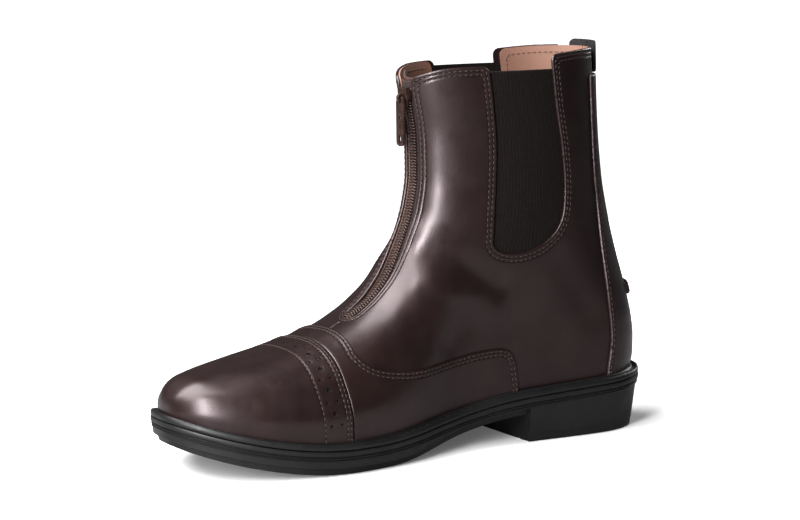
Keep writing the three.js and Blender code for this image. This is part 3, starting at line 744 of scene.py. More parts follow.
def boundary_of(faces):
    edges = np.vstack([faces[:, [0, 1]], faces[:, [1, 2]], faces[:, [2, 0]]])
    keys = np.sort(edges, 1)
    _, first, count = np.unique(keys, axis=0, return_index=True, return_counts=True)
    return edges[first[count == 1]]


ROUND_LEVELS = (0.0, -0.25, -0.6)


def edge_height(depth, thickness, radius):
    """How far a rounded edge falls below the full thickness, by distance in from the edge."""
    share = np.clip(1 - depth / radius, 0, 1)
    return thickness * (1 - np.sqrt(np.maximum(0, 1 - share**2)))


class Panel:
    """A sheet cut from the surface between two offsets, with rounded edges.
    fields gives columns of values, the first of them less than 0 on the sheet and near 0 at its edges."""

    def __init__(self, fields, cols=180, rows=110, split=4, near=5.0, hidden=None, slices=(), also=None):
        u, w = np.meshgrid(np.linspace(0, 1, cols + 1), np.linspace(0, 1, rows + 1))
        places = Places(u.ravel(), w.ravel())
        columns = fields(places)
        first = columns[0].reshape(rows + 1, cols + 1)
        smallest = np.abs(columns[0])
        for column in columns[1:]:
            smallest = np.minimum(smallest, np.abs(column))
        if also is not None:
            smallest = np.minimum(smallest, np.abs(also(places)))
        smallest = smallest.reshape(rows + 1, cols + 1)

        def low(values):
            return np.minimum.reduce([values[:-1, :-1], values[1:, :-1], values[:-1, 1:], values[1:, 1:]])

        keep = low(first) < 2.0
        if hidden is not None:
            keep &= low(hidden(places).reshape(rows + 1, cols + 1)) < 0
        fine = low(smallest) < near
        uw, faces = grid(cols, rows, split, keep, fine)
        places = Places(*uw.T)
        values = np.column_stack([uw, *fields(places)])
        if hidden is not None:
            values = np.column_stack([values, hidden(places)])
        for column, level in [(0, level) for level in ROUND_LEVELS] + list(slices):
            values, faces = slice_mesh(values, faces, 2 + column, level)
        inner = values[faces].mean(1)
        kept = inner[:, 2] < 0
        if hidden is not None:
            kept &= inner[:, -1] < 0
        self.faces = faces[kept]
        used, flat = np.unique(self.faces, return_inverse=True)
        self.faces = flat.reshape(-1, 3)
        self.values = values[used, 2:]
        self.places = Places(values[used, 0], values[used, 1])

    def make_points(self, low, high, radius, shape=None):
        """Corners of the top and of the underside. low and high are offsets from the surface."""
        base = relief(self.places)
        top = base + high - edge_height(-self.values[:, 0], 0.8 * (high - low), radius)
        if shape is not None:
            top = top + shape(self.values, self.places)
        self.top = self.places.xyz + self.places.normal * top[:, None]
        self.under = self.places.xyz + self.places.normal * (base + low)[:, None]
        return np.vstack([self.top, self.under])

    def make(self, name, low, high, radius, shape=None, materials=(), paint=None):
        """The closed sheet; shape adds height to its top by the columns of values."""
        points = self.make_points(low, high, radius, shape)
        count = len(self.places.y)
        rim_edges = boundary_of(self.faces)
        a, b = rim_edges.T
        walls = np.vstack([np.stack([b, a, a + count], 1), np.stack([b, a + count, b + count], 1)])
        faces = np.vstack([self.faces, self.faces[:, ::-1] + count, walls])
        index = None
        if paint is not None:
            index = np.zeros(len(faces), int)
            index[: len(self.faces)] = paint(self.values[self.faces].mean(1))
        return make_object(name, points, faces, materials=materials, index=index)

    def tree(self, under=False):
        faces = self.faces[:, ::-1] if under else self.faces
        return BVHTree.FromPolygons((self.under if under else self.top).tolist(), faces.tolist())

    def lines(self, column, level, under=False):
        return contour(self.under if under else self.top, self.values[:, column], self.faces, level)


# Materials
def new_material(name, colour, roughness, **inputs):
    material = bpy.data.materials.new(name)
    material.use_nodes = True
    shader = material.node_tree.nodes["Principled BSDF"]
    shader.inputs["Base Color"].default_value = (*colour, 1)
    shader.inputs["Roughness"].default_value = roughness
    for key, value in inputs.items():
        shader.inputs[key.replace("_", " ")].default_value = value
    return material


def add_node(material, kind, **values):
    node = material.node_tree.nodes.new(kind)
    for key, value in values.items():
        if key in node.inputs:
            node.inputs[key].default_value = value
        else:
            setattr(node, key, value)
    return node


def link(material, source, target):
    material.node_tree.links.new(source, target)


def coordinates(material, scale=(1, 1, 1)):
    place = add_node(material, "ShaderNodeTexCoord")
    mapping = add_node(material, "ShaderNodeMapping", Scale=scale)
    link(material, place.outputs["Object"], mapping.inputs["Vector"])
    return mapping.outputs["Vector"]


def noise(material, scale, detail=4.0, stretch=(1, 1, 1)):
    node = add_node(material, "ShaderNodeTexNoise", Scale=scale, Detail=detail, Roughness=0.55)
    link(material, coordinates(material, stretch), node.inputs["Vector"])
    return node.outputs["Fac"]


def spread(material, source, low, high, start=0.3, end=0.7):
    node = add_node(material, "ShaderNodeMapRange")
    node.inputs["From Min"].default_value = start
    node.inputs["From Max"].default_value = end
    node.inputs["To Min"].default_value = low
    node.inputs["To Max"].default_value = high
    link(material, source, node.inputs["Value"])
    return node.outputs["Result"]


def mixed_colour(material, factor, a, b):
    node = add_node(material, "ShaderNodeMix", data_type="RGBA")
    link(material, factor, node.inputs["Factor"])
    for socket, value in (("A", a), ("B", b)):
        target = next(s for s in node.inputs if s.name == socket and s.type == "RGBA")
        if isinstance(value, tuple):
            target.default_value = (*value, 1)
        else:
            link(material, value, target)
    return next(s for s in node.outputs if s.type == "RGBA")


def bumped(material, layers):
    """Bump from several (source, distance in mm) layers, one on the other."""
    before = None
    for source, distance in layers:
        node = add_node(material, "ShaderNodeBump", Strength=1.0, Distance=distance * MM)
        link(material, source, node.inputs["Height"])
        if before is not None:
            link(material, before, node.inputs["Normal"])
        before = node.outputs["Normal"]
    link(material, before, material.node_tree.nodes["Principled BSDF"].inputs["Normal"])


def into(material, source, name):
    link(material, source, material.node_tree.nodes["Principled BSDF"].inputs[name])


def cloudy(name, dark, light, roughness, clouds, **inputs):
    """A material whose colour and gloss drift in clouds."""
    made = new_material(name, dark, roughness, **inputs)
    into(made, mixed_colour(made, spread(made, noise(made, clouds, 5), 0, 1), dark, light), "Base Color")
    into(made, spread(made, noise(made, clouds * 2.3, 6), roughness - 0.05, roughness + 0.08), "Roughness")
    return made


def grained(name, dark, light, roughness, clouds, grain, depth, stretch=(1, 1, 1), **inputs):
    """A cloudy material with a fine grain, its depth in mm, in its surface."""
    made = cloudy(name, dark, light, roughness, clouds, **inputs)
    bumped(made, [(noise(made, grain, 3, stretch), depth)])
    return made


def leather_material(name, dark, light, roughness, **inputs):
    """Smooth leather: faint unevenness under fine pores."""
    made = cloudy(name, dark, light, roughness, 38, **inputs)
    pores = add_node(made, "ShaderNodeTexVoronoi", Scale=1500.0, feature="SMOOTH_F1")
    link(made, coordinates(made), pores.inputs["Vector"])
    bumped(made, [(noise(made, 60, 2), 0.12), (pores.outputs["Distance"], 0.03)])
    return made


leather = leather_material(
    "boot_leather",
    (0.0115, 0.0058, 0.0055),
    (0.0185, 0.0098, 0.0094),
    0.36,
    Coat_Weight=0.25,
    Coat_Roughness=0.25,
    Specular_Tint=(1, 0.84, 0.88, 1),
)
lining_leather = leather_material("lining_leather", (0.22, 0.12, 0.088), (0.29, 0.168, 0.125), 0.65)
guard_leather = leather_material("guard_leather", (0.045, 0.022, 0.018), (0.07, 0.034, 0.027), 0.5)
# Dark and light colour, roughness, then clouds and grain per metre, the grain's depth and its stretch
# This near-black material paints the brogue holes and the needle holes: painted shade standing in for the dark
# inside of a hole.
painted_hole_shade = grained("painted_hole_shade", (0.003, 0.0022, 0.0022), (0.006, 0.0045, 0.004), 0.9, 400, 900, 0.05)
thread = grained("thread", (0.024, 0.014, 0.012), (0.055, 0.034, 0.028), 0.6, 700, 2500, 0.1)
lining_thread = grained("lining_thread", (0.11, 0.055, 0.04), (0.18, 0.1, 0.07), 0.7, 700, 2500, 0.1)
welt_thread = grained("welt_thread", (0.018, 0.016, 0.016), (0.045, 0.04, 0.04), 0.6, 500, 2000, 0.1)
coil_nylon = grained("coil_nylon", (0.03, 0.016, 0.013), (0.055, 0.03, 0.025), 0.38, 300, 1200, 0.02)
rubber = grained("sole_rubber", (0.006, 0.006, 0.0064), (0.0105, 0.0105, 0.011), 0.44, 60, 1400, 0.06)
painted_metal = grained(
    "painted_metal", (0.035, 0.019, 0.016), (0.075, 0.043, 0.036), 0.34, 260, 900, 0.015, Metallic=0.5
)
webbing = grained(
    "webbing", (0.006, 0.0055, 0.006), (0.014, 0.013, 0.014), 0.75, 600, 1300, 0.3, (1, 1, 0.35)
)
zip_cloth = grained(
    "zip_cloth", (0.018, 0.011, 0.0095), (0.038, 0.024, 0.021), 0.85, 800, 1800, 0.25, (1, 1, 0.4)
)
elastic_cloth = grained(
    "elastic_cloth",
    (0.0088, 0.0062, 0.006),
    (0.013, 0.0092, 0.009),
    0.85,
    500,
    1600,
    0.2,
    (1, 1, 0.3),
    Specular_IOR_Level=0.2,
)


# Panels of the upper
def both(a, b, radius):
    """Distance to where two regions overlap, with its corners rounded."""
    corner = np.hypot(np.maximum(a + radius, 0), np.maximum(b + radius, 0))
    return np.minimum(np.maximum(a, b), -radius) + corner


def finish_piece(piece, slot, *nodes, body="boot"):
    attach(piece, body)
    if nodes:
        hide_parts(*nodes)
    return piece


def contour(points, values, faces, level):
    """Lines over a mesh along which its corners' values reach a level."""
    above = values > level
    count = above[faces].sum(1)
    spots, links = {}, {}
    for face in faces[(count == 1) | (count == 2)].tolist():
        ends = []
        for a, b in ((face[0], face[1]), (face[1], face[2]), (face[2], face[0])):
            if above[a] != above[b]:
                key = (min(a, b), max(a, b))
                ends.append(key)
                if key not in spots:
                    t = (level - values[a]) / (values[b] - values[a])
                    spots[key] = points[a] + t * (points[b] - points[a])
        links.setdefault(ends[0], []).append(ends[1])
        links.setdefault(ends[1], []).append(ends[0])
    lines, seen = [], set()
    for start in [key for key in links if len(links[key]) == 1] + list(links):
        chain, key = [], start
        while key is not None and key not in seen:
            seen.add(key)
            chain.append(spots[key])
            key = next((k for k in links[key] if k not in seen), None)
        if len(chain) > 4:
            lines.append(np.array(chain))
    return lines


class Thread:
    """Stitches gathered from many rows, to be laid as one piece."""

    SIDES = 6
    RINGS = [(-0.5, 0.0), (-0.46, 0.55), (-0.3, 0.95), (0.0, 1.0), (0.3, 0.95), (0.46, 0.55), (0.5, 0.0)]
    PLAIN = [(-0.5, 0.0), (-0.32, 0.95), (0.32, 0.95), (0.5, 0.0)]

    def __init__(self, pitch, length, radius):
        self.pitch, self.length, self.radius = pitch, length, radius
        self.frames = []

    def add(self, line, tree, keep=None):
        """A row along a line, laid on the nearest places of a surface."""
        run = np.linalg.norm(np.diff(line, axis=0), axis=1).sum()
        if run < 3 * self.pitch:
            return
        spots = resampled(line, self.pitch)
        ahead = np.gradient(spots, axis=0)
        for spot, along in zip(spots[:-1] + np.diff(spots, axis=0) / 2, ahead[:-1]):
            place, normal, _, _ = tree.find_nearest(spot.tolist())
            if place is None or (keep is not None and not keep(place)):
                continue
            self.frames.append((np.array(place), np.array(normal), along))

    def made(self, name, material, sink=0.25, scale=1.0, shift=0.0, flat=1.0, template=RINGS):
        """The template laid at each stitch; shift moves it along the row by a share of the pitch."""
        turn = np.arange(self.SIDES) * 2 * np.pi / self.SIDES
        shape = []
        for along, wide in template:
            shape += [(along * self.length * scale, np.cos(t) * wide, np.sin(t) * wide * flat) for t in turn]
        shape = np.array(shape)
        shape[:, 1:] *= self.radius
        points = []
        for place, normal, along in self.frames:
            x = along - normal * (along @ normal)
            x /= np.linalg.norm(x)
            y = np.cross(normal, x)
            origin = place + x * shift * self.pitch + normal * self.radius * (flat - 2 * sink) * 0.5
            points.append(origin + shape @ np.stack([x, y, normal]))
        rings, size = len(template), len(shape)
        i = np.arange(self.SIDES)
        after = (i + 1) % self.SIDES
        first = np.stack([i, after, self.SIDES + after, self.SIDES + i], 1)
        one = np.vstack([first + r * self.SIDES for r in range(rings - 1)])
        faces = (one[None] + (np.arange(len(points)) * size)[:, None, None]).reshape(-1, 4)
        return make_object(name, np.vstack(points), faces, 180, [material])


# Overlays: offsets of the underside and the top from the surface, radius of the edge
OVERLAY = (0.1, 1.5, 0.9)
CAP_LAYER = (0.1, 2.3, 1.1)
LEATHER_THICKNESS = 1.2
LINING_TOP = -1.4
LINING_ROW = 3.6
WALL = 2.4
CORNER = 4.0
UNDERLAP = 5.0
ROWS = (2.0, 4.1)
TROUGH = 0.5
TROUGH_DEPTH = 0.22


def troughs(column, rows, width=TROUGH, depth=TROUGH_DEPTH):
    """Dips of the top along rows at those distances in from an edge."""

    def shape(values, places):
        return -sum(depth * np.exp(-(((values[:, column] + row) / width) ** 2)) for row in rows)

    return shape


def trough_slices(column, rows):
    return [(column, -row + shift) for row in rows for shift in (-TROUGH, 0.0, TROUGH)]


def shaft_field(grow_collar=0.0, grow_gore=0.0, grow_slot=0.0):
    def field(places):
        openings = both(-in_gore(places) + grow_gore, -in_slot(places) + grow_slot, 1.0)
        return both(openings, -above_collar(places) + grow_collar, CORNER)

    return field


def covered(places):
    """Less than 0 where no overlay hides the leather below."""
    return np.maximum(-before_vamp_edge(places), -behind_stay_edge(places)) - UNDERLAP


SEAM_WIDTH = 0.55
SEAM_DEPTH = 0.45


def front_seam(values, places):
    """The closed seam down the front from the zip's foot."""
    across = np.abs(places.x - SLOT_X)
    fade = ease(-along_zip(places.z), -1.0, 2.0) * (places.y < front_edge(places.z) + FRONT_REACH)
    return troughs(0, ROWS)(values, places) - SEAM_DEPTH * fade * np.exp(-((across / SEAM_WIDTH) ** 2))


def seam_distance(places):
    """Distance across from the front seam, for a finer mesh there."""
    near = (places.y < front_edge(places.z) + FRONT_REACH) & (along_zip(places.z) < 2)
    return np.where(near, places.x - SLOT_X, ELSEWHERE)


sewing = Thread(2.9, 1.8, 0.34)


def sew(panel, column, rows, keep=None):
    """Rows of stitches at those distances in from the edge that a column measures."""
    tree = panel.tree()
    for row in rows:
        for line in panel.lines(column, -row):
            sewing.add(line, tree, keep)



upper_panel = Panel(
    lambda p: [shaft_field()(p), seam_distance(p)],
    hidden=covered,
    slices=trough_slices(0, ROWS) + [(1, -0.6), (1, 0.0), (1, 0.6)],
)
upper = upper_panel.make("upper_leather", -LEATHER_THICKNESS, 0.0, 0.9, front_seam, [leather])
finish_piece(upper, "upper_leather", "upper")
sew(upper_panel, 0, ROWS, keep=lambda place: place[2] > SLOT_FOOT - 3)

lining_panel = Panel(lambda p: [shaft_field(0.4, 3.5, 0.8)(p)], cols=120, rows=75)
lining = lining_panel.make("lining", -WALL, LINING_TOP, 0.4, materials=[lining_leather])
finish_piece(lining, "lining")
inner_sewing = Thread(3.0, 2.2, 0.3)
inner_tree = lining_panel.tree(under=True)
for line in lining_panel.lines(0, -LINING_ROW, under=True):
    inner_sewing.add(line, inner_tree, keep=lambda place: place[2] > SLOT_FOOT)
finish_piece(inner_sewing.made("lining_stitches", lining_thread), "lining")

# The toe cap with its broguing
CAP_ROWS = (1.5, 3.4, 15.5)
BROGUE_ROW = 9.4
BROGUE_PITCH = 12.4
LARGE_HOLE = 1.3
SMALL_HOLE = 0.72
SMALL_SPREAD = 2.9
HOLE_DEPTH = 1.1
HOLE_WALL = 0.2
BROGUE_START = 3.5


def brogue_centres():
    """Large holes down the middle of the band, with two small ones across it between them."""
    rough = Panel(lambda p: [before_cap_edge(p)], cols=120, rows=80)
    rough.make_points(CAP_LAYER[0], 2.2, CAP_LAYER[2])
    large, small = [], []
    tree = rough.tree()
    for line in rough.lines(0, -BROGUE_ROW):
        half = BROGUE_PITCH / 2
        spots = resampled(line, half)
        ahead = np.gradient(spots, axis=0)
        for k, (spot, along) in enumerate(zip(spots, ahead)):
            if spot[2] < above_welt(spot[1]) + BROGUE_START:
                continue
            if k % 2:
                large.append(spot)
                continue
            normal = np.array(tree.find_nearest(spot.tolist())[1])
            across = np.cross(normal, along / np.linalg.norm(along))
            for way in (-1, 1):
                small.append(np.array(tree.find_nearest((spot + way * SMALL_SPREAD * across).tolist())[0]))
    return np.array(large), np.array(small)


large_holes, small_holes = brogue_centres()


def hole_field(places):
    """Less than 0 within a hole of the broguing."""
    top = places.xyz + places.normal * 2.0
    best = np.full(len(top), ELSEWHERE)
    for centres, radius in ((large_holes, LARGE_HOLE), (small_holes, SMALL_HOLE)):
        for centre in centres:
            best = np.minimum(best, np.linalg.norm(top - centre, axis=1) - radius)
    return best


def cap_shape(values, places):
    inside_hole = np.clip(-values[:, 1] / HOLE_WALL, 0, 1)
    lip = 0.12 * np.exp(-(((values[:, 1] - 0.35) / 0.35) ** 2))
    return troughs(0, CAP_ROWS)(values, places) - HOLE_DEPTH * inside_hole - lip


cap_panel = Panel(
    lambda p: [before_cap_edge(p), hole_field(p)],
    split=6,
    near=3.0,
    slices=trough_slices(0, CAP_ROWS) + [(1, 0.4), (1, 0.0), (1, -HOLE_WALL)],
    also=lambda p: np.abs(before_cap_edge(p) + CAP_ROWS[2]) - 1.0,
)
# The faces inside each brogue hole get the near-black second material: painted shade for the dark inside of
# the hole, over a shallow dent.
toe_cap = cap_panel.make(
    "toe_cap_leather",
    *CAP_LAYER,
    cap_shape,
    [leather, painted_hole_shade],
    paint=lambda values: (values[:, 1] < -0.02).astype(int),
)
finish_piece(toe_cap, "upper_leather", "toe_cap")
sew(cap_panel, 0, CAP_ROWS)

VAMP_ROWS = (1.6, 3.6)
vamp_panel = Panel(
    lambda p: [both(before_vamp_edge(p), 0.15 - before_cap_edge(p), 0.2), before_vamp_edge(p)],
    slices=trough_slices(1, VAMP_ROWS),
)
vamp = vamp_panel.make("vamp_leather", *OVERLAY, troughs(1, VAMP_ROWS), [leather])
finish_piece(vamp, "upper_leather", "vamp")
sew(vamp_panel, 1, VAMP_ROWS)

TAB_WIDTH = 22.0
TAB_RISE = 3.0
TAB_LENGTH = 17.0
TAB_FOOT = COLLAR_HEIGHT + TAB_RISE - TAB_LENGTH
STAY_ROWS = (1.8,)
stay_panel = Panel(
    lambda p: [both(behind_stay_edge(p), p.z - TAB_FOOT + 0.3, 0.5), behind_stay_edge(p)],
    slices=trough_slices(1, STAY_ROWS),
)
backstay = stay_panel.make("backstay_leather", *OVERLAY, troughs(1, STAY_ROWS), [leather])
finish_piece(backstay, "upper_leather", "backstay")
sew(stay_panel, 1, STAY_ROWS)
finish_piece(sewing.made("upper_stitches", thread), "upper_leather")
# Dark flat marks laid on the leather between the stitches: painted shade in place of needle holes, with no
# hole cut.
NEEDLE_HOLE_SHADE = {"scale": 0.55, "shift": 0.5, "flat": 0.4, "sink": -0.15, "template": Thread.PLAIN}
finish_piece(sewing.made("needle_hole_shade", painted_hole_shade, **NEEDLE_HOLE_SHADE), "upper_leather")

# Tab and spur rest on the back
BACK_X = float(spine(along_of(back_edge(COLLAR_HEIGHT))))


def back_strip(low, high, half, radius):
    def field(places):
        strip = both(np.abs(places.x - BACK_X) - half, np.maximum(low - places.z, places.z - high), radius)
        return np.where(places.y > FEATHER_HEEL * 0.4, strip, np.maximum(strip, ELSEWHERE))

    return field


tab_field = back_strip(TAB_FOOT, COLLAR_HEIGHT + TAB_RISE, TAB_WIDTH / 2, 3.0)
tab_panel = Panel(lambda p: [tab_field(p)])
back_tab = tab_panel.make("back_tab_webbing", 0.1, 1.7, 0.5, materials=[webbing])
finish_piece(back_tab, "elastic", "back_tab")

REST_LEVEL = 74.0
REST_HALF = 3.75
REST_WIDTH = 33.0
rest_field = back_strip(REST_LEVEL - REST_HALF, REST_LEVEL + REST_HALF, REST_WIDTH / 2, 2.0)
rest_panel = Panel(lambda p: [rest_field(p)])
spur_rest = rest_panel.make("spur_rest_leather", 1.5, 3.6, 1.6, materials=[leather])
finish_piece(spur_rest, "upper_leather", "spur_rest")

# Elastic side panels, ribbed up and down
RIB_PITCH = 2.0
RIB_HEIGHT = 0.08
ELASTIC_UNDERLAP = 3.0
ELASTIC_DROP = 9.5


def gore_field(side):
    def field(places):
        mine = both(in_gore(places) - ELASTIC_UNDERLAP, places.z - (COLLAR_HEIGHT - ELASTIC_DROP), 1.0)
        return np.where(places.side == side, mine, np.maximum(mine, 6.0))

    return field


def ribs(values, places):
    share = (places.y - front_edge(places.z)) / (back_edge(places.z) - front_edge(places.z))
    depth = float(back_edge(COLLAR_HEIGHT) - front_edge(COLLAR_HEIGHT))
    return RIB_HEIGHT * (np.cos(2 * np.pi * share * depth / RIB_PITCH) - 1) / 2


for side, label in ((1, "elastic_inner"), (-1, "elastic_outer")):
    panel = Panel(lambda p, s=side: [gore_field(s)(p)], rows=45, near=40.0)
    gore = panel.make(label + "_cloth", -WALL, -LEATHER_THICKNESS - 0.05, 0.5, ribs, [elastic_cloth])
    finish_piece(gore, "elastic", label)

# The zip: tape, guard, coil, slider and pull
TAPE_HALF = 12.5
GUARD_HALF = 16.0
TAPE_TOP = -2.5
TAPE_LOW = -3.4
GUARD_TOP = -3.8
GUARD_LOW = -5.0
SLIDER_TOP = COLLAR_HEIGHT - 18.0
SLIDER_LENGTH = 9.5


def behind_zip(half, drop, below_collar):
    strip = zip_field(half, half * 0.8, drop)
    return lambda p: both(strip(p), -above_collar(p) + below_collar, 1.0)


tape_panel = Panel(lambda p: [behind_zip(TAPE_HALF, 4.0, 2.0)(p)])
tape = tape_panel.make("zip_tape_cloth", TAPE_LOW, TAPE_TOP, 0.3, materials=[zip_cloth])
finish_piece(tape, "zip_cloth", "zip_tape")
guard_panel = Panel(lambda p: [behind_zip(GUARD_HALF, 1.0, 0.5)(p)])
guard = guard_panel.make("zip_guard_leather", GUARD_LOW, GUARD_TOP, 0.6, materials=[guard_leather])
finish_piece(guard, "lining", "zip_guard")

COIL_PITCH = 1.5
COIL_WIRE = 0.36
COIL_HALF_WIDTH = 1.75
COIL_HEIGHT = 0.62
COIL_MIDDLE = 1.55
COIL_LEVEL = -1.55
COIL_STEPS = 12
COIL_SIDES = 6
CHAIN_START = 3.0
SLIDER_RUN = float(along_zip(SLIDER_TOP - SLIDER_LENGTH / 2))
CHAIN_END = float(along_zip(SLIDER_TOP - 0.5))
OPENING = 3.2


def tube(path, radius, sides):
    """A closed tube along a path."""
    ahead = np.gradient(path, axis=0)
    ahead /= np.linalg.norm(ahead, axis=1, keepdims=True)
    reference = np.cross(ahead, np.array([0.0, 0.0, 1.0]))
    reference /= np.linalg.norm(reference, axis=1, keepdims=True)
    other = np.cross(ahead, reference)
    turn = np.arange(sides) * 2 * np.pi / sides
    ring = np.cos(turn)[None, :, None] * reference[:, None] + np.sin(turn)[None, :, None] * other[:, None]
    points = (path[:, None] + radius * ring).reshape(-1, 3)
    i = np.arange(sides)
    after = (i + 1) % sides
    faces = []
    for level in range(len(path) - 1):
        low = level * sides
        faces += np.stack([low + i, low + after, low + sides + after, low + sides + i], 1).tolist()
    last = (len(path) - 1) * sides
    return points, faces + [list(i[::-1]), (last + i).tolist()]


def coil(way):
    """One side of the zip's coil; above the slider it follows its own edge of the slot."""
    turns = (CHAIN_END - CHAIN_START) / COIL_PITCH
    run = np.linspace(CHAIN_START, CHAIN_END, int(turns * COIL_STEPS))
    place, normal = zip_point(run)
    angle = 2 * np.pi * run / COIL_PITCH + (np.pi if way > 0 else 0)
    out = COIL_MIDDLE + OPENING * ease(run, SLIDER_RUN + 2, CHAIN_END)
    sideways = way * (out + COIL_HALF_WIDTH * np.cos(angle))
    level = COIL_LEVEL + COIL_HEIGHT * np.sin(angle)
    path = place + normal * level[:, None]
    path[:, 0] += sideways
    return tube(path, COIL_WIRE, COIL_SIDES)


coil_points, coil_faces = [], []
for way in (-1, 1):
    points, faces = coil(way)
    start = sum(len(part) for part in coil_points)
    coil_points.append(points)
    coil_faces += [[start + corner for corner in face] for face in faces]
chain = make_object("zip_coil", np.vstack(coil_points), coil_faces, 60, [coil_nylon])
finish_piece(chain, "zip_plastic", "zip_chain")


def bevelled(node, name, width, material, body):
    """A copy of a hard piece with its flats joined and its edges rounded."""
    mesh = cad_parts[node].data.copy()
    mesh.name = name
    mesh.materials.clear()
    mesh.materials.append(material)
    built = bmesh.new()
    built.from_mesh(mesh)
    bmesh.ops.remove_doubles(built, verts=built.verts, dist=2e-6)
    bmesh.ops.dissolve_limit(built, angle_limit=math.radians(3), verts=built.verts, edges=built.edges)
    sharp = math.radians(28)
    corners = [edge for edge in built.edges if edge.is_manifold and edge.calc_face_angle(0) > sharp]
    bmesh.ops.bevel(
        built, geom=corners, offset=width * MM, segments=2, profile=0.5, affect="EDGES", clamp_overlap=True
    )
    bmesh.ops.triangulate(built, faces=[face for face in built.faces if len(face.verts) > 4])
    built.to_mesh(mesh)
    built.free()
    mesh.shade_smooth()
    mesh.set_sharp_from_angle(angle=math.radians(40))
    item = bpy.data.objects.new(name, mesh)
    bpy.context.scene.collection.objects.link(item)
    return finish_piece(item, "zip_plastic", node, body=body)


bevelled("zip_slider", "slider_metal", 0.22, painted_metal, "boot")
bevelled("zip_pull", "pull_metal", 0.22, painted_metal, "pull")


# Sole
def stacked(name, rings, material, caps=True, sharp=30):
    """Rings of equal length joined into a wall, closed by a cap below and above or into a hoop."""
    count = len(rings[0])
    levels = len(rings)
    faces = []
    i = np.arange(count)
    following = (i + 1) % count
    for level in range(levels if not caps else levels - 1):
        low, high = level * count, (level + 1) % levels * count
        faces += np.stack([low + i, low + following, high + following, high + i], 1).tolist()
    if caps:
        half = count // 2
        for start, up in ((0, False), ((levels - 1) * count, True)):
            for k in range(half):
                across = [(count - k - 1) % count, (count - k) % count]
                quad = list(dict.fromkeys(start + corner for corner in [k, k + 1, *across]))
                faces.append(quad if up else quad[::-1])
    return make_object(name, np.vstack(rings), faces, sharp, [material])


# Side of the sole: inset at the forefoot and the heel, height over the underside or depth below the rim
SIDE_ROWS = [
    (4.4, 4.6, 0.0, None),
    (3.9, 4.3, 0.25, None),
    (3.4, 4.0, 3.4, None),
    (1.5, 3.8, 3.6, None),
    (1.2, 3.7, 3.9, None),
    (1.0, 1.4, None, 6.0),
    (0.9, 1.2, None, 5.3),
    (0.45, 0.6, None, 5.0),
    (0.4, 0.5, None, 4.7),
    (0.95, 1.0, None, 4.4),
    (0.95, 1.0, None, 4.15),
    (0.35, 0.45, None, 3.85),
    (0.3, 0.4, None, 3.5),
    (0.95, 1.0, None, 3.2),
    (0.95, 1.0, None, 2.9),
    (0.15, 0.15, None, 2.5),
    (0.0, 0.0, None, 2.2),
    (0.0, 0.0, None, 0.6),
    (0.15, 0.15, None, 0.15),
    (0.5, 0.5, None, 0.0),
]
SOLE_STATIONS = 160


def sole_rings(stations):
    rings = []
    for fore_inset, heel_inset, up, down in SIDE_ROWS:
        fore, along = outline_ring(stations, fore_inset)
        heel, _ = outline_ring(stations, heel_inset)
        share = ease(along, BREAST_ALONG, ARCH_END)[:, None]
        xy = lerp(heel, fore, share)
        z = underside(along) + up if down is None else rim(along_of(xy[:, 1])) - down
        rings.append(np.column_stack([xy, z]))
    return rings


turns = [BREAST_ALONG, BREAST_ALONG + BREAST_RUN, ARCH_END, SPRING_START]
sole_stations = np.sort(np.concatenate([even_stations(SOLE_STATIONS), turns]))
outsole = stacked("outsole_rubber", sole_rings(sole_stations), rubber)

TREAD_ZONES = [(0.05, 0.25), (0.6, 0.93)]
TREAD_PITCH = 11.0
TREAD_SLOT = 3.4
TREAD_DEPTH = 2.4
SLOT_REACH = 80.0


def tread_cutter():
    """Wedges across the sole, one for each slot between two lugs."""
    points, faces = [], []
    for start, end in TREAD_ZONES:
        count = int((end - start) * SOLE_LENGTH // TREAD_PITCH)
        for k in range(count):
            along = start + (k + 0.5) * (end - start) / count
            back_y, front_y = float(y_of(along)), float(y_of(along)) - TREAD_SLOT
            back_z = float(underside(along)) + TREAD_DEPTH
            front_z_here = float(underside(along_of(front_y))) + TREAD_DEPTH
            section = [(back_y, -9), (front_y, -9), (front_y + 0.5, front_z_here), (back_y - 0.5, back_z)]
            base = len(points)
            for x in (-SLOT_REACH, SLOT_REACH):
                points += [(x, y, z) for y, z in section]
            low, high = [base + c for c in range(4)], [base + 4 + c for c in range(4)]
            faces += [low[::-1], high]
            faces += [[low[c], low[(c + 1) % 4], high[(c + 1) % 4], high[c]] for c in range(4)]
    return make_object("tread_cutter", points, faces, 30)


def subtract(piece, cutter):
    modifier = piece.modifiers.new("cut", "BOOLEAN")
    modifier.operation = "DIFFERENCE"
    modifier.solver = "EXACT"
    modifier.object = cutter
    graph = bpy.context.evaluated_depsgraph_get()
    cut = bpy.data.meshes.new_from_object(piece.evaluated_get(graph))
    piece.modifiers.clear()
    old, piece.data = piece.data, cut
    cut.name = old.name
    bpy.data.meshes.remove(old)
    bpy.data.objects.remove(cutter)
    cut.shade_smooth()
    cut.set_sharp_from_angle(angle=math.radians(30))


subtract(outsole, tread_cutter())
finish_piece(outsole, "sole_rubber", "outsole")

# Section of the welt: inset from the sole's edge, share of its thickness
WELT_ROWS = [
    (0.5, 0.0),
    (0.15, 0.08),
    (0.05, 0.3),
    (0.1, 0.6),
    (0.45, 0.8),
    (1.2, 0.86),
    (1.9, 0.82),
    (2.3, 0.6),
    (3.1, 0.58),
    (3.5, 0.8),
    (3.9, 0.96),
    (4.5, 1.04),
    (5.1, 1.0),
    (5.5, 0.85),
    (FLANGE_WIDTH - GAP, 0.6),
    (FLANGE_WIDTH - GAP, 0.0),
]
welt_stations = even_stations(SOLE_STATIONS)
welt_rings = []
for inset, up in WELT_ROWS:
    ring, _ = outline_ring(welt_stations, inset)
    welt_rings.append(np.column_stack([ring, seat(ring[:, 1]) + up * WELT_THICKNESS]))
welt = stacked("welt_rubber", welt_rings, rubber, caps=False, sharp=50)
finish_piece(welt, "sole_rubber", "welt")

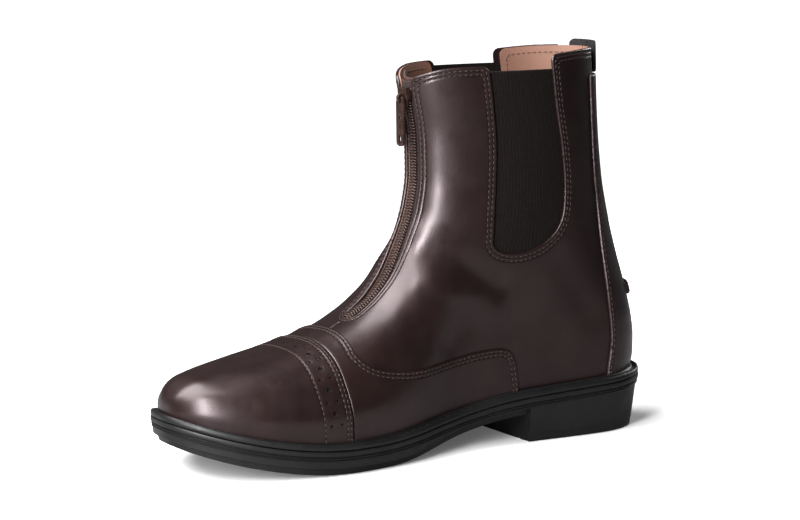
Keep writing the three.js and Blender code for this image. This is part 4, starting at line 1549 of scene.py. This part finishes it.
WELT_STITCH_INSET = 2.7
welt_sewing = Thread(5.2, 4.0, 0.55)
channel, _ = outline_ring(welt_stations, WELT_STITCH_INSET)
channel = np.column_stack([channel, seat(channel[:, 1]) + 0.6 * WELT_THICKNESS])
channel = np.vstack([channel, channel[:1]])
welt_corners = [tuple(v.co / MM) for v in welt.data.vertices]
welt_tree = BVHTree.FromPolygons(welt_corners, [tuple(f.vertices) for f in welt.data.polygons])
welt_sewing.add(channel, welt_tree)
finish_piece(welt_sewing.made("welt_stitches", welt_thread, sink=0.3), "sole_rubber")

INSOLE_EDGE = FLANGE_WIDTH + WALL + 4 * GAP
insole_rings = []
for inset, up in ((0.4, 0.0), (0.0, 0.1), (0.0, 0.85), (0.5, 1.0)):
    ring, _ = outline_ring(even_stations(80), INSOLE_EDGE + inset)
    insole_rings.append(np.column_stack([ring, seat(ring[:, 1]) + up * INSOLE_THICKNESS]))
insole = stacked("insole_cover", insole_rings, lining_leather)
finish_piece(insole, "lining", "insole")

# Stage
CAMERA_PLACE = Vector((1088, -643, 288)) * MM
CAMERA_AZIMUTH = math.radians(59.4)
CAMERA_PITCH = math.radians(8.61)
FOCAL_LENGTH = 110.57
look = Vector(
    (
        -math.sin(CAMERA_AZIMUTH) * math.cos(CAMERA_PITCH),
        math.cos(CAMERA_AZIMUTH) * math.cos(CAMERA_PITCH),
        -math.sin(CAMERA_PITCH),
    )
)
camera = bpy.data.objects.new("camera", bpy.data.cameras.new("camera"))
bpy.context.scene.collection.objects.link(camera)
camera.location = CAMERA_PLACE
camera.rotation_euler = look.to_track_quat("-Z", "Y").to_euler()
camera.data.lens = FOCAL_LENGTH
camera.data.sensor_width = 36
bpy.context.scene.camera = camera

FLOOR_RADIUS = 0.9
FLOOR_SIDES = 96
turn = np.arange(FLOOR_SIDES) * 2 * np.pi / FLOOR_SIDES
rim_points = np.stack([np.cos(turn), np.sin(turn), 0 * turn], 1) * FLOOR_RADIUS
floor_mesh = bpy.data.meshes.new("floor")
floor_mesh.from_pydata(rim_points.tolist(), [], [list(range(FLOOR_SIDES))])
FLOOR_GREY = (0.85, 0.85, 0.85)
floor_paint = new_material(
    "floor_paint", FLOOR_GREY, 0.8, Emission_Color=(1, 1, 1, 1), Specular_IOR_Level=0.2
)
away = add_node(floor_paint, "ShaderNodeVectorMath", operation="LENGTH")
link(floor_paint, coordinates(floor_paint), away.inputs[0])
whiter = spread(floor_paint, away.outputs["Value"], 0.1, 1.0, 0.15, FLOOR_RADIUS)
seen_only = add_node(floor_paint, "ShaderNodeMath", operation="MULTIPLY")
looked_at = add_node(floor_paint, "ShaderNodeLightPath").outputs["Is Camera Ray"]
link(floor_paint, whiter, seen_only.inputs[0])
link(floor_paint, looked_at, seen_only.inputs[1])
into(floor_paint, seen_only.outputs["Value"], "Emission Strength")
# The floor is darker in reflections, so that it puts no haze on the leather
into(floor_paint, mixed_colour(floor_paint, looked_at, (0.3, 0.3, 0.3), FLOOR_GREY), "Base Color")
floor_mesh.materials.append(floor_paint)
floor = bpy.data.objects.new("floor", floor_mesh)
floor.location.z = -0.0003
bpy.context.scene.collection.objects.link(floor)

ROOM_LIGHT = 0.06
BACKDROP = 1.0
world = bpy.data.worlds.new("studio")
world.use_nodes = True
room = world.node_tree.nodes["Background"]
room.inputs["Color"].default_value = (0.95, 0.97, 1, 1)
room.inputs["Strength"].default_value = ROOM_LIGHT
seen = world.node_tree.nodes.new("ShaderNodeBackground")
seen.inputs["Color"].default_value = (1, 1, 1, 1)
seen.inputs["Strength"].default_value = BACKDROP
path = world.node_tree.nodes.new("ShaderNodeLightPath")
mix = world.node_tree.nodes.new("ShaderNodeMixShader")
world.node_tree.links.new(path.outputs["Is Camera Ray"], mix.inputs["Fac"])
world.node_tree.links.new(room.outputs["Background"], mix.inputs[1])
world.node_tree.links.new(seen.outputs["Background"], mix.inputs[2])
world.node_tree.links.new(mix.outputs["Shader"], world.node_tree.nodes["World Output"].inputs["Surface"])
bpy.context.scene.world = world


AIM = Vector((0, 0, 0.1))


def softbox(name, azimuth, height, distance, size, power):
    """A square lamp round the boot, by its azimuth from the camera's in degrees."""
    angle = CAMERA_AZIMUTH + math.radians(azimuth)
    place = Vector((math.sin(angle) * distance, -math.cos(angle) * distance, height))
    lamp = bpy.data.lights.new(name, "AREA")
    lamp.shape = "RECTANGLE"
    lamp.size, lamp.size_y = size
    lamp.energy = power
    item = bpy.data.objects.new(name, lamp)
    item.location = place
    item.rotation_euler = (AIM - place).to_track_quat("-Z", "Y").to_euler()
    bpy.context.scene.collection.objects.link(item)


# Lamps: name, degrees round from the camera, height, distance, width and length in m, power in W
LAMPS = [
    ("key", -23, 0.6, 1.5, (0.28, 1.2), 40),
    ("overhead", -72, 1.3, 0.85, (1.5, 1.3), 56),
    ("rim", 140, 0.7, 1.4, (0.4, 0.9), 6),
]
for lamp_row in LAMPS:
    softbox(*lamp_row)
bpy.context.scene.view_settings.view_transform = "Standard"
bpy.context.scene.view_settings.look = "Medium High Contrast"
